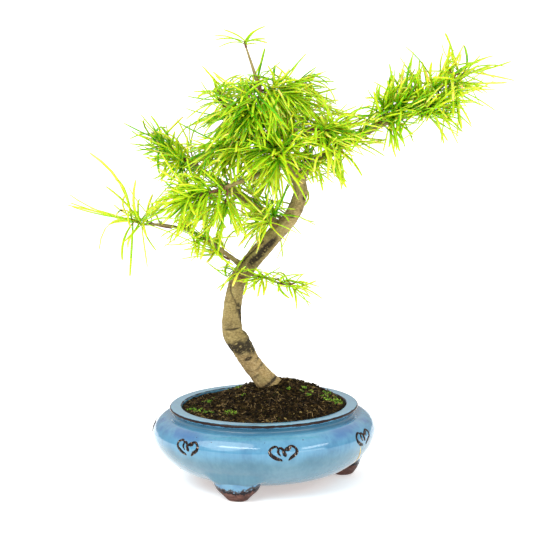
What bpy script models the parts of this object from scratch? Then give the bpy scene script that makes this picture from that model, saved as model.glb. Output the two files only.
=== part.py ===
"""A golden larch bonsai in a round glazed pot on three feet.

Lengths are in metres, +Z is up, and the front of the tree faces -Y. Everything is placed from
the pot's axis and the floor. settle() then moves the whole tree so that the origin lies in the
middle of its base.
"""
import math
import random
from collections import namedtuple

import bmesh
import bpy
from mathutils import Matrix, Vector
from mathutils.geometry import intersect_point_line

GAP = 0.0003  # between two solids that touch on the real tree
UP = Vector((0.0, 0.0, 1.0))

# The pot, turned about its axis
RIM_RADIUS = 0.0952
RIM_INSIDE = 0.0825
RIM_HEIGHT = 0.0785
NECK_RADIUS = 0.0918
NECK_HEIGHT = 0.0705
BELLY_RADIUS = 0.1127
BELLY_HEIGHT = 0.0540
BASE_RADIUS = 0.0640
BASE_HEIGHT = 0.0100
WALL = 0.0090
DRAIN_RADIUS = 0.0090
POT_STEPS = 32  # round the pot and its soil

# The feet of the pot, at equal angles
FEET = 3
FIRST_FOOT = math.radians(-18.7)  # from the front, positive to the right
FOOT_TOP_WIDTH = 0.0460
FOOT_SOLE_WIDTH = 0.0240
FOOT_SOLE_INSIDE = 0.0700
FOOT_SOLE_OUTSIDE = 0.0930
FOOT_TOP_INSIDE = 0.0680
FOOT_TOP_OUTSIDE = 0.1030

# The soil, a mound that is highest beside the trunk
SOIL_EDGE = 0.0762
SOIL_RISE = 0.0188
MOUND_CENTRE = Vector((0.027, 0.017))
COLLAR_RISE = 0.0040
COLLAR_RADIUS = 0.0180
COLLAR_CENTRE = Vector((0.018, 0.020))
HEAP_RISE = 0.0055
HEAP_RADIUS = 0.0100
HEAP_CENTRE = Vector((0.0235, 0.0030))
SOIL_RINGS = 8

# The trunk's centre line and radius, from the flat cut in the soil to the leader's tip
TRUNK = (
    (0.0120, 0.0150, 0.0860, 0.0138),
    (0.0030, 0.0140, 0.0980, 0.0110),
    (-0.0118, 0.0120, 0.1168, 0.0097),
    (-0.0197, 0.0105, 0.1325, 0.0108),
    (-0.0246, 0.0095, 0.1400, 0.0117),
    (-0.0303, 0.0085, 0.1505, 0.0106),
    (-0.0304, 0.0060, 0.1704, 0.0092),
    (-0.0246, 0.0040, 0.2019, 0.0084),
    (-0.0111, 0.0030, 0.2216, 0.0087),
    (0.0058, 0.0020, 0.2418, 0.0085),
    (0.0200, 0.0010, 0.2568, 0.0080),
    (0.0311, 0.0000, 0.2699, 0.0074),
    (0.0398, -0.0010, 0.2912, 0.0070),
    (0.0377, -0.0020, 0.3051, 0.0066),
    (0.0268, -0.0030, 0.3243, 0.0051),
    (0.0152, -0.0030, 0.3404, 0.0039),
    (0.0058, -0.0020, 0.3701, 0.0028),
    (0.0003, -0.0030, 0.3969, 0.0020),
    (-0.0118, -0.0060, 0.4374, 0.0009),
)
TRUNK_SIDES = 10
TRUNK_STEPS = 2  # rings to each stretch between two of the trunk's points

# A bough leaves the trunk at a height, or goes on from another bough's tip, and bends over its
# knee to its own tip.
Bough = namedtuple("Bough", "holder height knee tip root_radius tip_radius")
BOUGHS = {
    "right_bough": Bough(
        "trunk", 0.305, (0.0530, -0.004, 0.3270), (0.1184, -0.015, 0.3592), 0.0048, 0.0030
    ),
    "right_outer_bough": Bough(
        "right_bough", None, (0.1400, -0.017, 0.3685), (0.1626, -0.015, 0.3737), 0.0027, 0.0019
    ),
    "right_low_bough": Bough(
        "trunk", 0.313, (0.0420, -0.018, 0.3190), (0.0600, -0.022, 0.3320), 0.0016, 0.0012
    ),
    "right_front_bough": Bough(
        "trunk", 0.331, (0.0300, -0.020, 0.3500), (0.0494, -0.026, 0.3573), 0.0018, 0.0013
    ),
    "left_bough": Bough(
        "trunk", 0.256, (-0.0275, 0.023, 0.2952), (-0.0761, 0.022, 0.3242), 0.0042, 0.0028
    ),
    "front_left_bough": Bough(
        "trunk", 0.322, (0.0080, -0.016, 0.3168), (-0.0348, -0.037, 0.3025), 0.0024, 0.0018
    ),
    "centre_left_bough": Bough(
        "trunk", 0.341, (-0.0020, -0.008, 0.3490), (-0.0193, -0.008, 0.3464), 0.0020, 0.0015
    ),
    "lower_left_bough": Bough(
        "trunk", 0.216, (-0.0390, -0.005, 0.2360), (-0.0576, -0.012, 0.2509), 0.0024, 0.0018
    ),
    "lower_left_outer_bough": Bough(
        "lower_left_bough", None, (-0.0810, -0.018, 0.2650), (-0.1091, -0.025, 0.2661), 0.0017, 0.0013
    ),
    "lower_right_bough": Bough(
        "trunk", 0.213, (-0.0080, -0.016, 0.2120), (0.0059, -0.016, 0.2093), 0.0017, 0.0012
    ),
    "upper_left_bough": Bough(
        "trunk", 0.357, (-0.0120, -0.008, 0.3790), (-0.0329, -0.012, 0.3804), 0.0021, 0.0016
    ),
    "upper_right_bough": Bough(
        "trunk", 0.386, (0.0150, 0.004, 0.3880), (0.0310, 0.008, 0.3986), 0.0014, 0.0010
    ),
    "window_bough": Bough(
        "trunk", 0.263, (0.0140, 0.020, 0.2680), (-0.0037, 0.034, 0.2775), 0.0016, 0.0011
    ),
    "back_low_bough": Bough(
        "trunk", 0.290, (0.0380, 0.024, 0.2960), (0.0300, 0.048, 0.3020), 0.0026, 0.0018
    ),
    "back_left_bough": Bough(
        "trunk", 0.309, (0.0220, 0.030, 0.3240), (0.0020, 0.062, 0.3440), 0.0030, 0.0020
    ),
    "back_right_bough": Bough(
        "trunk", 0.326, (0.0320, 0.028, 0.3380), (0.0400, 0.058, 0.3590), 0.0024, 0.0017
    ),
    "back_upper_bough": Bough(
        "trunk", 0.360, (0.0000, 0.022, 0.3720), (-0.0100, 0.044, 0.3830), 0.0019, 0.0013
    ),
}
BOUGH_SIDES = 6
BOUGH_STEPS = 5

# A mass of foliage grows from one stem, which leaves the trunk at a height or a bough's tip. It
# carries spurs up to its tip, each on a side twig, and each spur ends in a rosette of needles.
Mass = namedtuple("Mass", "holder height knee tip spurs side needle spread lean droop")
MASSES = {
    "lower_left_tip_needles": Mass(
        "lower_left_outer_bough", None, (-0.1180, -0.026, 0.2690), (-0.1274, -0.028, 0.2732),
        4, 0.004, 0.060, 46, (-1.10, 0.0, 0.32), 0.04
    ),
    "lower_left_needles": Mass(
        "lower_left_bough", None, (-0.0570, -0.018, 0.2490), (-0.0590, -0.024, 0.2470),
        3, 0.008, 0.029, 85, (-0.20, -0.2, -0.30), 0.12
    ),
    "left_tip_needles": Mass(
        "left_bough", None, (-0.0880, 0.022, 0.3320), (-0.0996, 0.020, 0.3428),
        5, 0.011, 0.040, 66, (-0.80, 0.0, 0.20), 0.08
    ),
    "left_under_needles": Mass(
        "left_bough", None, (-0.0760, 0.010, 0.3210), (-0.0779, 0.008, 0.3143),
        3, 0.008, 0.036, 72, (-0.50, -0.1, -0.70), 0.12
    ),
    "front_left_needles": Mass(
        "front_left_bough", None, (-0.0584, -0.050, 0.2987), (-0.0766, -0.054, 0.3024),
        5, 0.006, 0.054, 58, (-1.10, -0.1, -0.25), 0.20
    ),
    "front_hanging_needles": Mass(
        "front_left_bough", None, (-0.0352, -0.040, 0.2960), (-0.0356, -0.041, 0.2881),
        3, 0.005, 0.038, 70, (0.0, -0.1, -0.90), 0.10
    ),
    "centre_left_needles": Mass(
        "centre_left_bough", None, (-0.0270, -0.012, 0.3420), (-0.0332, -0.014, 0.3353),
        5, 0.010, 0.046, 62, (-0.90, -0.1, -0.60), 0.15
    ),
    "upper_left_needles": Mass(
        "upper_left_bough", None, (-0.0390, -0.014, 0.3880), (-0.0468, -0.015, 0.3991),
        4, 0.008, 0.050, 70, (-0.95, 0.0, -0.05), 0.28
    ),
    "upper_left_front_needles": Mass(
        "trunk", 0.372, (-0.0080, -0.018, 0.3740), (-0.0226, -0.026, 0.3735),
        4, 0.005, 0.042, 68, (-0.80, -0.2, -0.45), 0.18
    ),
    "leader_needles": Mass(
        "trunk", None, (-0.0125, -0.006, 0.4400), (-0.0132, -0.006, 0.4423),
        2, 0.002, 0.034, 62, (-0.10, 0.0, -0.05), 0.45
    ),
    "top_needles": Mass(
        "trunk", 0.404, (0.0010, -0.012, 0.4060), (0.0024, -0.018, 0.4058),
        5, 0.008, 0.048, 76, (0.0, -0.1, 0.22), 0.42
    ),
    "top_low_needles": Mass(
        "trunk", 0.388, (-0.0040, -0.016, 0.3830), (-0.0118, -0.022, 0.3759),
        3, 0.005, 0.034, 72, (-0.10, -0.4, -0.80), 0.12
    ),
    "upper_right_needles": Mass(
        "upper_right_bough", None, (0.0420, 0.010, 0.4060), (0.0530, 0.012, 0.4118),
        4, 0.004, 0.036, 70, (0.55, 0.0, -0.05), 0.45
    ),
    "top_right_needles": Mass(
        "trunk", 0.394, (0.0150, -0.006, 0.3960), (0.0258, -0.008, 0.3998),
        5, 0.009, 0.048, 68, (0.95, -0.1, 0.0), 0.30
    ),
    "centre_right_needles": Mass(
        "trunk", 0.366, (0.0220, 0.004, 0.3700), (0.0375, 0.006, 0.3739),
        5, 0.011, 0.044, 70, (0.75, 0.0, -0.30), 0.15
    ),
    "right_front_needles": Mass(
        "right_front_bough", None, (0.0680, -0.033, 0.3580), (0.0850, -0.038, 0.3550),
        6, 0.006, 0.052, 58, (1.0, -0.1, -0.05), 0.18
    ),
    "right_low_needles": Mass(
        "right_low_bough", None, (0.0700, -0.024, 0.3370), (0.0786, -0.026, 0.3366),
        5, 0.008, 0.040, 68, (0.35, -0.1, -0.85), 0.10
    ),
    "front_needles": Mass(
        "trunk", 0.333, (0.0200, -0.018, 0.3350), (0.0208, -0.032, 0.3352),
        3, 0.006, 0.044, 62, (-0.05, -0.3, 0.80), 0.10
    ),
    "front_low_needles": Mass(
        "trunk", 0.322, (0.0220, -0.018, 0.3250), (0.0187, -0.028, 0.3250),
        3, 0.006, 0.036, 66, (-0.05, -0.2, -0.90), 0.08
    ),
    "front_side_needles": Mass(
        "trunk", 0.336, (0.0110, -0.014, 0.3330), (0.0060, -0.024, 0.3277),
        3, 0.008, 0.042, 68, (-0.85, -0.2, -0.55), 0.14
    ),
    "trunk_needles": Mass(
        "trunk", 0.257, (0.0100, -0.012, 0.2640), (0.0051, -0.018, 0.2682),
        3, 0.008, 0.036, 76, (-0.20, -0.3, -0.45), 0.14
    ),
    "trunk_back_needles": Mass(
        "trunk", 0.272, (0.0390, 0.009, 0.2720), (0.0430, 0.014, 0.2710),
        2, 0.004, 0.020, 66, (0.70, 0.4, -0.10), 0.12
    ),
    "lower_right_needles": Mass(
        "lower_right_bough", None, (0.0204, -0.021, 0.2076), (0.0311, -0.024, 0.2023),
        4, 0.007, 0.034, 76, (0.45, -0.1, 0.0), 0.16
    ),
    "lower_front_needles": Mass(
        "trunk", 0.207, (-0.0220, -0.010, 0.2080), (-0.0186, -0.015, 0.2112),
        3, 0.006, 0.024, 74, (-0.20, -0.3, 0.10), 0.14
    ),
    "right_inner_needles": Mass(
        "right_bough", None, (0.1220, -0.020, 0.3680), (0.1339, -0.022, 0.3726),
        5, 0.008, 0.048, 60, (0.15, -0.1, 0.60), 0.03
    ),
    "right_tip_needles": Mass(
        "right_outer_bough", None, (0.1850, -0.013, 0.3830), (0.1988, -0.006, 0.4058),
        9, 0.013, 0.045, 64, (0.50, 0.0, 0.04), 0.05
    ),
    "right_middle_needles": Mass(
        "right_outer_bough", None, (0.1600, -0.006, 0.3800), (0.1580, -0.003, 0.3900),
        3, 0.008, 0.040, 62, (-0.10, 0.1, 0.70), 0.05
    ),
    "right_hanging_needles": Mass(
        "right_outer_bough", None, (0.1660, -0.020, 0.3700), (0.1730, -0.024, 0.3660),
        4, 0.009, 0.034, 66, (0.10, -0.1, -0.80), 0.06
    ),
    "window_needles": Mass(
        "window_bough", None, (-0.0130, 0.042, 0.2830), (-0.0214, 0.046, 0.2886),
        3, 0.010, 0.032, 72, (0.0, 0.3, 0.10), 0.20
    ),
    "back_low_needles": Mass(
        "back_low_bough", None, (0.0240, 0.062, 0.3050), (0.0180, 0.074, 0.3080),
        4, 0.012, 0.040, 72, (-0.10, 0.5, 0.0), 0.15
    ),
    "back_left_needles": Mass(
        "back_left_bough", None, (-0.0140, 0.076, 0.3490), (-0.0320, 0.088, 0.3500),
        5, 0.014, 0.042, 70, (-0.20, 0.5, -0.20), 0.15
    ),
    "back_right_needles": Mass(
        "back_right_bough", None, (0.0460, 0.074, 0.3620), (0.0540, 0.088, 0.3600),
        5, 0.014, 0.042, 70, (0.20, 0.5, -0.20), 0.15
    ),
    "back_upper_needles": Mass(
        "back_upper_bough", None, (-0.0160, 0.058, 0.3860), (-0.0200, 0.072, 0.3840),
        4, 0.012, 0.042, 72, (-0.10, 0.5, -0.10), 0.22
    ),
}
STEM_ROOT = 0.0016
STEM_TIP = 0.0011
STEM_STEPS = 4
FIRST_SPUR = 0.30  # of the way along the stem
GOLDEN_ANGLE = math.radians(137.5)
SPUR_END = 0.0019  # the knob that a spur swells to, where its needles start
SPUR_KNOB = 0.0030
NEEDLES = 4  # to a rosette
NEEDLE_WIDTH = 0.0034
NEEDLE_THICKNESS = 0.0011
NEEDLE_SPREAD = 0.14  # of its length, either way
WIDEST_AT = 0.32
NEEDLE_SINK = 0.0014  # how far inside its spur a needle starts
WHOLE = 0.9  # of a mass's faces, in its largest shell, once its twigs and needles are joined
LIMB_CLEARANCE = 0.0012
NEIGHBOUR_CLEARANCE = 0.0038
TESTED = (0.12, 0.3, 0.45, 0.6, 0.8, 1.0)  # places along a needle that must be clear
SHORTER = 0.72  # a needle that meets something is tried again this much shorter


def clear_scene():
    for obj in list(bpy.data.objects):
        bpy.data.objects.remove(obj)


def new_collection(name, parent=None):
    collection = bpy.data.collections.new(name)
    (parent or bpy.context.scene.collection).children.link(collection)
    return collection


def material(name, colour, roughness):
    made = bpy.data.materials.new(name)
    made.use_nodes = True
    shader = made.node_tree.nodes["Principled BSDF"]
    shader.inputs["Base Color"].default_value = (*colour, 1.0)
    shader.inputs["Roughness"].default_value = roughness
    shader.inputs["Metallic"].default_value = 0.0
    return made


def add(name, mesh, collection, finish=None):
    obj = bpy.data.objects.new(name, mesh)
    collection.objects.link(obj)
    if finish:
        mesh.materials.append(finish)
    return obj


def mesh_of(bm, name="mesh"):
    mesh = bpy.data.meshes.new(name)
    bm.to_mesh(mesh)
    bm.free()
    return mesh


def evaluated_mesh(obj):
    graph = bpy.context.evaluated_depsgraph_get()
    return bpy.data.meshes.new_from_object(obj.evaluated_get(graph))


def shade(obj, angle=40):
    obj.data.shade_smooth()
    obj.data.set_sharp_from_angle(angle=math.radians(angle))


def apply_modifiers(obj):
    mesh = evaluated_mesh(obj)
    obj.modifiers.clear()
    obj.data = mesh


def boolean(obj, operation, other, solver="EXACT"):
    cut = obj.modifiers.new(operation.lower(), "BOOLEAN")
    cut.operation = operation
    if isinstance(other, bpy.types.Collection):
        cut.operand_type = "COLLECTION"
        cut.collection = other
    else:
        cut.object = other
    cut.solver = solver


def empty_collection(collection):
    for obj in list(collection.objects):
        bpy.data.objects.remove(obj)
    bpy.data.collections.remove(collection)


def keep_largest_shell(mesh):
    """Drops loose scraps, and the inner shell of any hollow that a union sealed.

    It returns the share of the faces that it kept.
    """
    bm = bmesh.new()
    bm.from_mesh(mesh)
    before = len(bm.faces)
    left = set(bm.faces)
    shells = []
    while left:
        shell = {left.pop()}
        edge_of_shell = list(shell)
        while edge_of_shell:
            face = edge_of_shell.pop()
            for edge in face.edges:
                for near in edge.link_faces:
                    if near in left:
                        left.remove(near)
                        shell.add(near)
                        edge_of_shell.append(near)
        shells.append(shell)
    largest = max(shells, key=len)
    spare = [face for face in bm.faces if face not in largest]
    bmesh.ops.delete(bm, geom=spare, context="FACES")
    bm.to_mesh(mesh)
    bm.free()
    return len(largest) / before


def smooth_line(points, steps):
    """A Catmull-Rom curve through the points, which may carry a radius as a fourth value."""
    points = [Vector(p) for p in points]
    ends = [2 * points[0] - points[1]] + points + [2 * points[-1] - points[-2]]
    line = []
    for a, b, c, d in zip(ends, ends[1:], ends[2:], ends[3:]):
        for step in range(steps):
            t = step / steps
            bend = (2 * a - 5 * b + 4 * c - d) * t**2 + (3 * b - a - 3 * c + d) * t**3
            line.append(0.5 * (2 * b + (c - a) * t + bend))
    return line + [points[-1]]


def over_knee(root, knee, tip, steps):
    """Points of the quadratic Bezier curve from root to tip that bends towards the knee."""
    return [
        root.lerp(knee, k / steps).lerp(knee.lerp(tip, k / steps), k / steps)
        for k in range(steps + 1)
    ]


def tube_mesh(points, radii, sides):
    """A closed tube with flat ends along the points, made from a curve with a polygon bevel."""
    curve = bpy.data.curves.new("tube", "CURVE")
    curve.dimensions = "3D"
    spline = curve.splines.new("POLY")
    spline.points.add(len(points) - 1)
    for point, place, radius in zip(spline.points, points, radii):
        point.co = (*place, 1.0)
        point.radius = radius
    section = bpy.data.curves.new("section", "CURVE")
    outline = section.splines.new("POLY")
    outline.points.add(sides - 1)
    for k, point in enumerate(outline.points):
        angle = 2 * math.pi * k / sides
        point.co = (math.cos(angle), math.sin(angle), 0.0, 1.0)
    outline.use_cyclic_u = True
    profile = bpy.data.objects.new("section", section)
    tube = bpy.data.objects.new("tube", curve)
    bpy.context.scene.collection.objects.link(profile)
    bpy.context.scene.collection.objects.link(tube)
    curve.bevel_mode = "OBJECT"
    curve.bevel_object = profile
    curve.use_fill_caps = True
    bm = bmesh.new()
    bm.from_mesh(evaluated_mesh(tube))
    bmesh.ops.remove_doubles(bm, verts=bm.verts, dist=1e-6)
    bmesh.ops.recalc_face_normals(bm, faces=bm.faces)
    bpy.data.objects.remove(tube)
    bpy.data.objects.remove(profile)
    return mesh_of(bm)


def turned(name, profile, steps, collection, finish):
    """A solid turned about Z from its (radius, height) profile, which runs down its outer side."""
    bm = bmesh.new()
    corners = [bm.verts.new((radius, 0.0, height)) for radius, height in profile]
    closed = profile[0][0] > 0
    for first, second in zip(corners, corners[1:] + corners[:1] if closed else corners[1:]):
        bm.edges.new((first, second))
    obj = add(name, mesh_of(bm), collection, finish)
    screw = obj.modifiers.new("turn", "SCREW")
    screw.axis = "Z"
    screw.steps = steps
    screw.render_steps = steps
    screw.use_merge_vertices = True
    screw.merge_threshold = 1e-5
    apply_modifiers(obj)
    return obj


def outer_profile():
    """The pot's outside, from the rim's inner edge down to the base."""
    shoulder = NECK_HEIGHT - 0.0020
    return [
        (RIM_INSIDE, RIM_HEIGHT - 0.0012),
        (RIM_INSIDE + 0.0020, RIM_HEIGHT),
        (RIM_RADIUS - 0.0015, RIM_HEIGHT),
        (RIM_RADIUS, RIM_HEIGHT - 0.0014),
        (NECK_RADIUS + 0.0012, NECK_HEIGHT + 0.0030),
        (NECK_RADIUS, NECK_HEIGHT),
        (NECK_RADIUS + 0.0024, shoulder + 0.0008),
        (NECK_RADIUS + 0.0077, shoulder),
        (BELLY_RADIUS - 0.0075, shoulder - 0.0028),
        (BELLY_RADIUS - 0.0027, BELLY_HEIGHT + 0.0070),
        (BELLY_RADIUS, BELLY_HEIGHT),
        (BELLY_RADIUS - 0.0005, BELLY_HEIGHT - 0.0060),
        (BELLY_RADIUS - 0.0035, BELLY_HEIGHT - 0.0140),
        (BELLY_RADIUS - 0.0090, BELLY_HEIGHT - 0.0220),
        (BELLY_RADIUS - 0.0170, BELLY_HEIGHT - 0.0300),
        (BELLY_RADIUS - 0.0290, BELLY_HEIGHT - 0.0380),
        (BASE_RADIUS + 0.0080, BASE_HEIGHT + 0.0018),
        (BASE_RADIUS, BASE_HEIGHT),
    ]


def inner_profile(clearance=0.0):
    """The pot's inside, from its floor up to the mouth, or a line that much clear within it."""
    floor = BASE_HEIGHT + WALL + clearance
    return [
        (BASE_RADIUS - clearance, floor),
        (BELLY_RADIUS - 0.0300 - clearance, BELLY_HEIGHT - 0.0280 + clearance),
        (BELLY_RADIUS - 0.0180 - clearance, BELLY_HEIGHT - 0.0190 + clearance),
        (BELLY_RADIUS - WALL - clearance, BELLY_HEIGHT - 0.0040),
        (BELLY_RADIUS - WALL - clearance, BELLY_HEIGHT + 0.0020),
        (RIM_INSIDE + 0.0080 - clearance, NECK_HEIGHT - 0.0080 - clearance),
        (RIM_INSIDE - clearance, NECK_HEIGHT - 0.0030 - clearance),
    ]


def close_cut(bm, height):
    """Cuts off all that lies below the height, and closes the cut with a flat face."""
    cut = bmesh.ops.bisect_plane(
        bm, geom=[*bm.verts, *bm.edges, *bm.faces], plane_co=(0, 0, height),
        plane_no=(0, 0, -1), clear_outer=True
    )
    rim = [item for item in cut["geom_cut"] if isinstance(item, bmesh.types.BMEdge)]
    bmesh.ops.contextual_create(bm, geom=rim)
    bmesh.ops.recalc_face_normals(bm, faces=bm.faces)


def foot_mesh():
    """A stubby foot that points down, wide where it leaves the belly, cut flat at the floor."""
    below = -0.0040
    bm = bmesh.new()
    bmesh.ops.create_cube(bm, size=2.0)
    for vert in bm.verts:
        side, out, level = vert.co
        if level > 0:
            width = FOOT_TOP_WIDTH
            radius = FOOT_TOP_OUTSIDE if out > 0 else FOOT_TOP_INSIDE
            height = BASE_HEIGHT + (0.0125 if out > 0 else 0.0050)
        else:
            width = FOOT_SOLE_WIDTH
            radius = FOOT_SOLE_OUTSIDE if out > 0 else FOOT_SOLE_INSIDE
            height = below
        vert.co = (side * width / 2, -radius, height)
    bmesh.ops.recalc_face_normals(bm, faces=bm.faces)
    bmesh.ops.bevel(
        bm, geom=list(bm.edges), offset=0.0065, segments=2, profile=0.5, affect="EDGES"
    )
    close_cut(bm, 0.0)
    return mesh_of(bm)


def make_pot(collection, finish):
    inside = inner_profile()
    drain = [(DRAIN_RADIUS, BASE_HEIGHT), (DRAIN_RADIUS, BASE_HEIGHT + WALL)]
    pot = turned("pot", outer_profile() + drain + inside, POT_STEPS, collection, finish)
    feet = new_collection("feet")
    for k in range(FEET):
        foot = add(f"foot_{k}", foot_mesh(), feet)
        foot.rotation_euler.z = FIRST_FOOT + 2 * math.pi * k / FEET
    boolean(pot, "UNION", feet)
    apply_modifiers(pot)
    empty_collection(feet)
    shade(pot)
    return pot


def soil_height(x, y):
    """The height of the soil: a low mound, a collar beside the trunk and a heap at its foot."""
    place = Vector((x, y))
    away = place - MOUND_CENTRE
    edge = RIM_INSIDE - MOUND_CENTRE.length * max(
        0.0, away.normalized().dot(MOUND_CENTRE.normalized())
    )
    share = min(away.length / edge, 1.0)
    collar = COLLAR_RISE * math.exp(-(((place - COLLAR_CENTRE).length / COLLAR_RADIUS) ** 2))
    heap = HEAP_RISE * math.exp(-(((place - HEAP_CENTRE).length / HEAP_RADIUS) ** 2))
    return SOIL_EDGE + SOIL_RISE * (1 - share**2) + collar + heap


def make_soil(collection, finish, trunk_cutter):
    edge = RIM_INSIDE - GAP
    top = [(edge * k / SOIL_RINGS, SOIL_EDGE) for k in range(SOIL_RINGS + 1)]
    sides = list(reversed(inner_profile(GAP)))
    profile = top + sides + [(0.0, BASE_HEIGHT + WALL + GAP)]
    soil = turned("soil", profile, POT_STEPS, collection, finish)
    for vert in soil.data.vertices:
        radius = math.hypot(vert.co.x, vert.co.y)
        if abs(vert.co.z - SOIL_EDGE) < 1e-6 and radius < edge - 1e-4:
            vert.co.z = soil_height(vert.co.x, vert.co.y)
    boolean(soil, "DIFFERENCE", trunk_cutter)
    shade(soil)
    return soil


def cut_below(mesh, height):
    """The mesh with all that lies below the height cut off flat."""
    bm = bmesh.new()
    bm.from_mesh(mesh)
    close_cut(bm, height)
    return mesh_of(bm)


def make_trunk(collection, finish):
    line = smooth_line(TRUNK, TRUNK_STEPS)
    start = Vector(TRUNK[0])
    below = start + (start - Vector(TRUNK[1])) * 0.7
    line = [below] + line
    points = [p.to_3d() for p in line]
    radii = [p.w for p in line]
    whole = tube_mesh(points, radii, TRUNK_SIDES)
    trunk = add("trunk", cut_below(whole, start.z), collection, finish)
    shade(trunk, 60)
    clear = tube_mesh(points, [radius + GAP for radius in radii], TRUNK_SIDES)
    clear = cut_below(clear, start.z - GAP)
    cutter = add("trunk_clearance", clear, new_collection("cutters"))
    cutter.hide_render = True
    cutter.display_type = "WIRE"
    return cutter


def trunk_at(height):
    """The trunk's centre, radius and direction at a height."""
    line = smooth_line(TRUNK, TRUNK_STEPS)
    for low, high in zip(line, line[1:]):
        if high.z >= height:
            share = (height - low.z) / (high.z - low.z)
            point = low.lerp(high, share)
            return point.to_3d(), point.w, (high - low).to_3d().normalized()
    return line[-1].to_3d(), line[-1].w, (line[-1] - line[-2]).to_3d().normalized()


class Limbs:
    """What has been built of the trunk and the boughs: their lines, as tapering stretches."""

    def __init__(self):
        self.stretches = []
        self.tips = {}

    def record(self, name, points, radii):
        self.stretches += list(zip(points, points[1:], radii, radii[1:]))
        self.tips[name] = (points[-1], radii[-1], (points[-1] - points[-2]).normalized())

    def clearance(self, place):
        """How far a place lies from the nearest limb's surface."""
        return min(distance_to(place, *stretch) for stretch in self.stretches)


def distance_to(place, start, end, start_radius=0.0, end_radius=0.0):
    nearest, share = intersect_point_line(place, start, end)
    share = min(max(share, 0.0), 1.0)
    nearest = start.lerp(end, share)
    return (place - nearest).length - (start_radius + (end_radius - start_radius) * share)


def make_bough(name, bough, limbs, collection, finish, trunk_cutter):
    knee = Vector(bough.knee)
    tip = Vector(bough.tip)
    if bough.holder == "trunk":
        root = trunk_at(bough.height)[0]
    else:
        end, _, direction = limbs.tips[bough.holder]
        root = end + direction * GAP
    points = over_knee(root, knee, tip, BOUGH_STEPS)
    taper = [k / BOUGH_STEPS for k in range(BOUGH_STEPS + 1)]
    radii = [bough.root_radius + (bough.tip_radius - bough.root_radius) * t for t in taper]
    obj = add(name, tube_mesh(points, radii, BOUGH_SIDES), collection, finish)
    if bough.holder == "trunk":
        boolean(obj, "DIFFERENCE", trunk_cutter)
        apply_modifiers(obj)
        keep_largest_shell(obj.data)
    shade(obj, 60)
    limbs.record(name, points, radii)


def stem_line(mass, limbs):
    """The stem's points, from 0.3 mm clear of what holds it, over the knee to its tip.

    It goes on from a bough's tip, or leaves its side where another bough goes on from that tip.
    """
    knee = Vector(mass.knee)
    tip = Vector(mass.tip)
    tip_is_taken = any(bough.holder == mass.holder != "trunk" for bough in BOUGHS.values())
    if mass.holder == "trunk" and mass.height:
        centre, radius, along = trunk_at(mass.height)
        out = knee - centre
        out = (out - along * out.dot(along)).normalized()
        start = centre + out * (radius + GAP)
    else:
        centre, radius, along = limbs.tips[mass.holder]
        out = (knee - centre).normalized()
        if out.dot(along) > 0.5 and not tip_is_taken:
            out = along
            start = centre + along * GAP
        else:
            out = (out - along * out.dot(along)).normalized()
            start = centre - along * STEM_ROOT + out * (radius + GAP)
    first = start + out * 0.0015
    return [start] + over_knee(first, knee, tip, STEM_STEPS)


def along_line(points, share):
    """The point that share of the way along the line, and the line's direction there."""
    lengths = [(b - a).length for a, b in zip(points, points[1:])]
    left = share * sum(lengths)
    for a, b, length in zip(points, points[1:], lengths):
        if left <= length:
            break
        left -= length
    return a.lerp(b, min(left / length, 1.0)), (b - a).normalized()


def spurs_of(mass, line):
    """Where the side twigs leave the stem and end, the last spur being the stem's own tip."""
    lean = Vector(mass.lean)
    for k in range(mass.spurs):
        share = FIRST_SPUR + (1 - FIRST_SPUR) * k / max(mass.spurs - 1, 1)
        start, along = along_line(line, share)
        if k == mass.spurs - 1:
            yield start, start, (along + lean * 0.5).normalized()
            continue
        across = along.cross(UP).normalized()
        over = across.cross(along)
        turn = k * GOLDEN_ANGLE
        out = across * math.cos(turn) + over * math.sin(turn) + along * 0.6 + lean * 0.3
        yield start, start + out.normalized() * mass.side, out.normalized()


def twigs_of_others(name, skeletons):
    return [twig for other, made in skeletons.items() if other != name for twig in made]


def clear_spurs(name, line, skeletons, limbs):
    """The mass's spurs that stay clear of every limb and of the other masses' twigs.

    They are added to the mass's own skeleton.
    """
    others = twigs_of_others(name, skeletons)
    kept = []
    for start, end, axis in spurs_of(MASSES[name], line):
        places = [start.lerp(end, share) for share in (0.4, 0.7, 1.0)]
        meets_limb = any(limbs.clearance(place) < SPUR_END + GAP for place in places)
        meets_twig = any(
            distance_to(place, *twig) < 2 * SPUR_END + GAP for place in places for twig in others
        )
        if start != end and (meets_limb or meets_twig):
            continue
        kept.append((start, end, axis))
        if start != end:
            skeletons[name].append((start, end))
    return kept


def twig_mesh(start, end):
    """A straight three-sided spur that swells to a knob at its end."""
    along = end - start
    turn = along.to_track_quat("Z", "Y").to_matrix().to_4x4()
    bm = bmesh.new()
    bmesh.ops.create_cone(
        bm, cap_ends=True, segments=3, radius1=STEM_TIP, radius2=SPUR_END,
        depth=along.length, matrix=Matrix.Translation((start + end) / 2) @ turn
    )
    return mesh_of(bm)


def needle_points(root, direction, length, droop, shares):
    """Points along a needle that sets out straight and sags towards its tip."""
    return [root + direction * length * s - UP * droop * length * s**2 for s in shares]


def needle_mesh(end, axis, direction, length, droop):
    """A flat three-sided spindle that starts inside its spur."""
    root = end - axis * NEEDLE_SINK - direction * GAP
    middle, tip = needle_points(end, direction, length, droop, (WIDEST_AT, 1.0))
    across = direction.cross(UP).normalized()
    over = direction.cross(across)
    bm = bmesh.new()
    bmesh.ops.create_uvsphere(bm, u_segments=3, v_segments=2, radius=1.0)
    for vert in bm.verts:
        x, y, z = vert.co
        if abs(z) < 0.5:
            vert.co = middle + across * x * NEEDLE_WIDTH / 2 + over * y * NEEDLE_THICKNESS / 2
        else:
            vert.co = tip if z > 0 else root
    return mesh_of(bm)


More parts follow.
